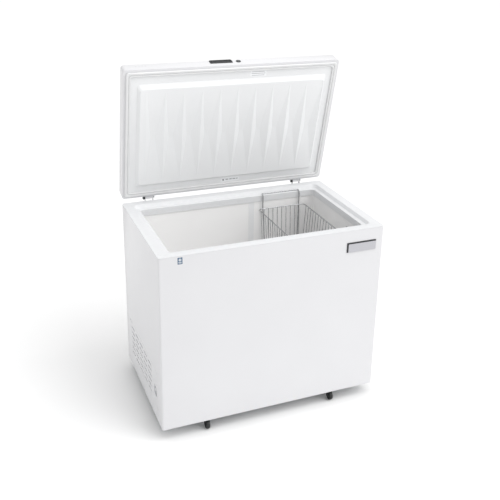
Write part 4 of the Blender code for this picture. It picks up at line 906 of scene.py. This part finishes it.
# casters: a wheel with hub and tread, and the four screws of each plate
wheel = {"profile": (
    (3.1, 7.5), (6.0, 7.5), (6.6, 6.9), (7.2, 5.4), (13.8, 5.0), (14.6, 6.6), (15.4, 7.3), (18.0, 7.3),
    (19.3, 6.4), (19.9, 4.4), (20.0, 0.0))}
for tag in ("front_left", "front_right", "rear_left", "rear_right"):
    low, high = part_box("caster_wheel_" + tag)
    centre = (low + high) / 2
    outerSide = [(radius * mm, height * mm) for radius, height in wheel["profile"]]
    innerSide = [(radius, -height) for radius, height in reversed(outerSide[:-1])]
    shape = bmesh.new()
    spun(shape, outerSide + innerSide, 40, Matrix.Translation(centre)
         @ Matrix.Rotation(math.radians(90), 4, "Y"))
    piece = finish(shape, "wheel_tread_" + tag, "wheel_" + tag, "nylon", smooth=30)
    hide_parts("caster_wheel_" + tag)
    refine("caster_fork_" + tag, "fork_" + tag, frame["nodes"]["caster_fork_" + tag], 1.0 * mm)
    refine("caster_plate_" + tag, "cabinet", frame["nodes"]["caster_plate_" + tag], 0.4 * mm)
    plateMiddle = sum(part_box("caster_plate_" + tag), Vector()) / 2
    for index in range(4):
        across = Vector(((-1) ** index * 14 * mm, (-1) ** (index // 2) * 14 * mm, 0))
        screw("caster_screw_%s_%d" % (tag, index), "cabinet", "zinc",
              flatTo((0, 0, -1), (plateMiddle.x + across.x, plateMiddle.y + across.y, 49.7 * mm)), 2.6 * mm,
              1.2 * mm)
print("casters")

# floor: plain, white and wide enough to fill the view
floorShape = bmesh.new()
bmesh.ops.create_grid(floorShape, x_segments=1, y_segments=1, size=60)
floorMesh = bpy.data.meshes.new("floor")
floorShape.to_mesh(floorMesh)
floorShape.free()
floor = bpy.data.objects.new("floor", floorMesh)
bpy.context.scene.collection.objects.link(floor)
floorPaint = newMaterial("studioFloor", "#FFFFFF", 0.9)[0]
floorMesh.materials.append(floorPaint)

world = bpy.data.worlds.new("studio")
bpy.context.scene.world = world
world.use_nodes = True
world.node_tree.nodes["Background"].inputs["Color"].default_value = (1, 1, 1, 1)
world.node_tree.nodes["Background"].inputs["Strength"].default_value = 0.78

# a wide soft key from the right and above, and a smaller panel overhead that reaches into the tub
key = bpy.data.lights.new("key", "SUN")
key.energy = 1.25
key.angle = math.radians(50)
panelLight = bpy.data.lights.new("overhead", "AREA")
panelLight.shape = "SQUARE"
panelLight.size = 2.2
panelLight.energy = 24
for lamp, position, target in ((key, (3.0, -2.6, 3.6), (0, 0, 0)),
                               (panelLight, (0.2, -0.6, 3.4), (0, 0, 0.6))):
    holder = bpy.data.objects.new(lamp.name, lamp)
    holder.location = position
    holder.rotation_euler = (Vector(position) - Vector(target)).to_track_quat("Z", "Y").to_euler()
    bpy.context.scene.collection.objects.link(holder)

view = {"azimuth": -23.05, "elevation": 20.2, "roll": 1.43, "distance": 3.129, "lens": 54.16,
        "target": (0.0675, -0.0264, 0.8748), "shift": (-0.03, -0.11)}
azimuth, elevation, roll = (math.radians(view[key]) for key in ("azimuth", "elevation", "roll"))
back = Vector((math.sin(azimuth) * math.cos(elevation), -math.cos(azimuth) * math.cos(elevation),
               math.sin(elevation)))
right = Vector((math.cos(azimuth), math.sin(azimuth), 0))
up = back.cross(right)
right, up = right * math.cos(roll) + up * math.sin(roll), up * math.cos(roll) - right * math.sin(roll)
lens = bpy.data.cameras.new("camera")
lens.lens = view["lens"]
lens.sensor_width = 36
lens.shift_x, lens.shift_y = view["shift"]
camera = bpy.data.objects.new("camera", lens)
camera.matrix_world = Matrix((right, up, back)).transposed().to_4x4()
camera.location = Vector(view["target"]) + back * view["distance"]
bpy.context.scene.collection.objects.link(camera)
bpy.context.scene.camera = camera
bpy.context.scene.view_settings.view_transform = "Standard"
print("floor, lights and camera")
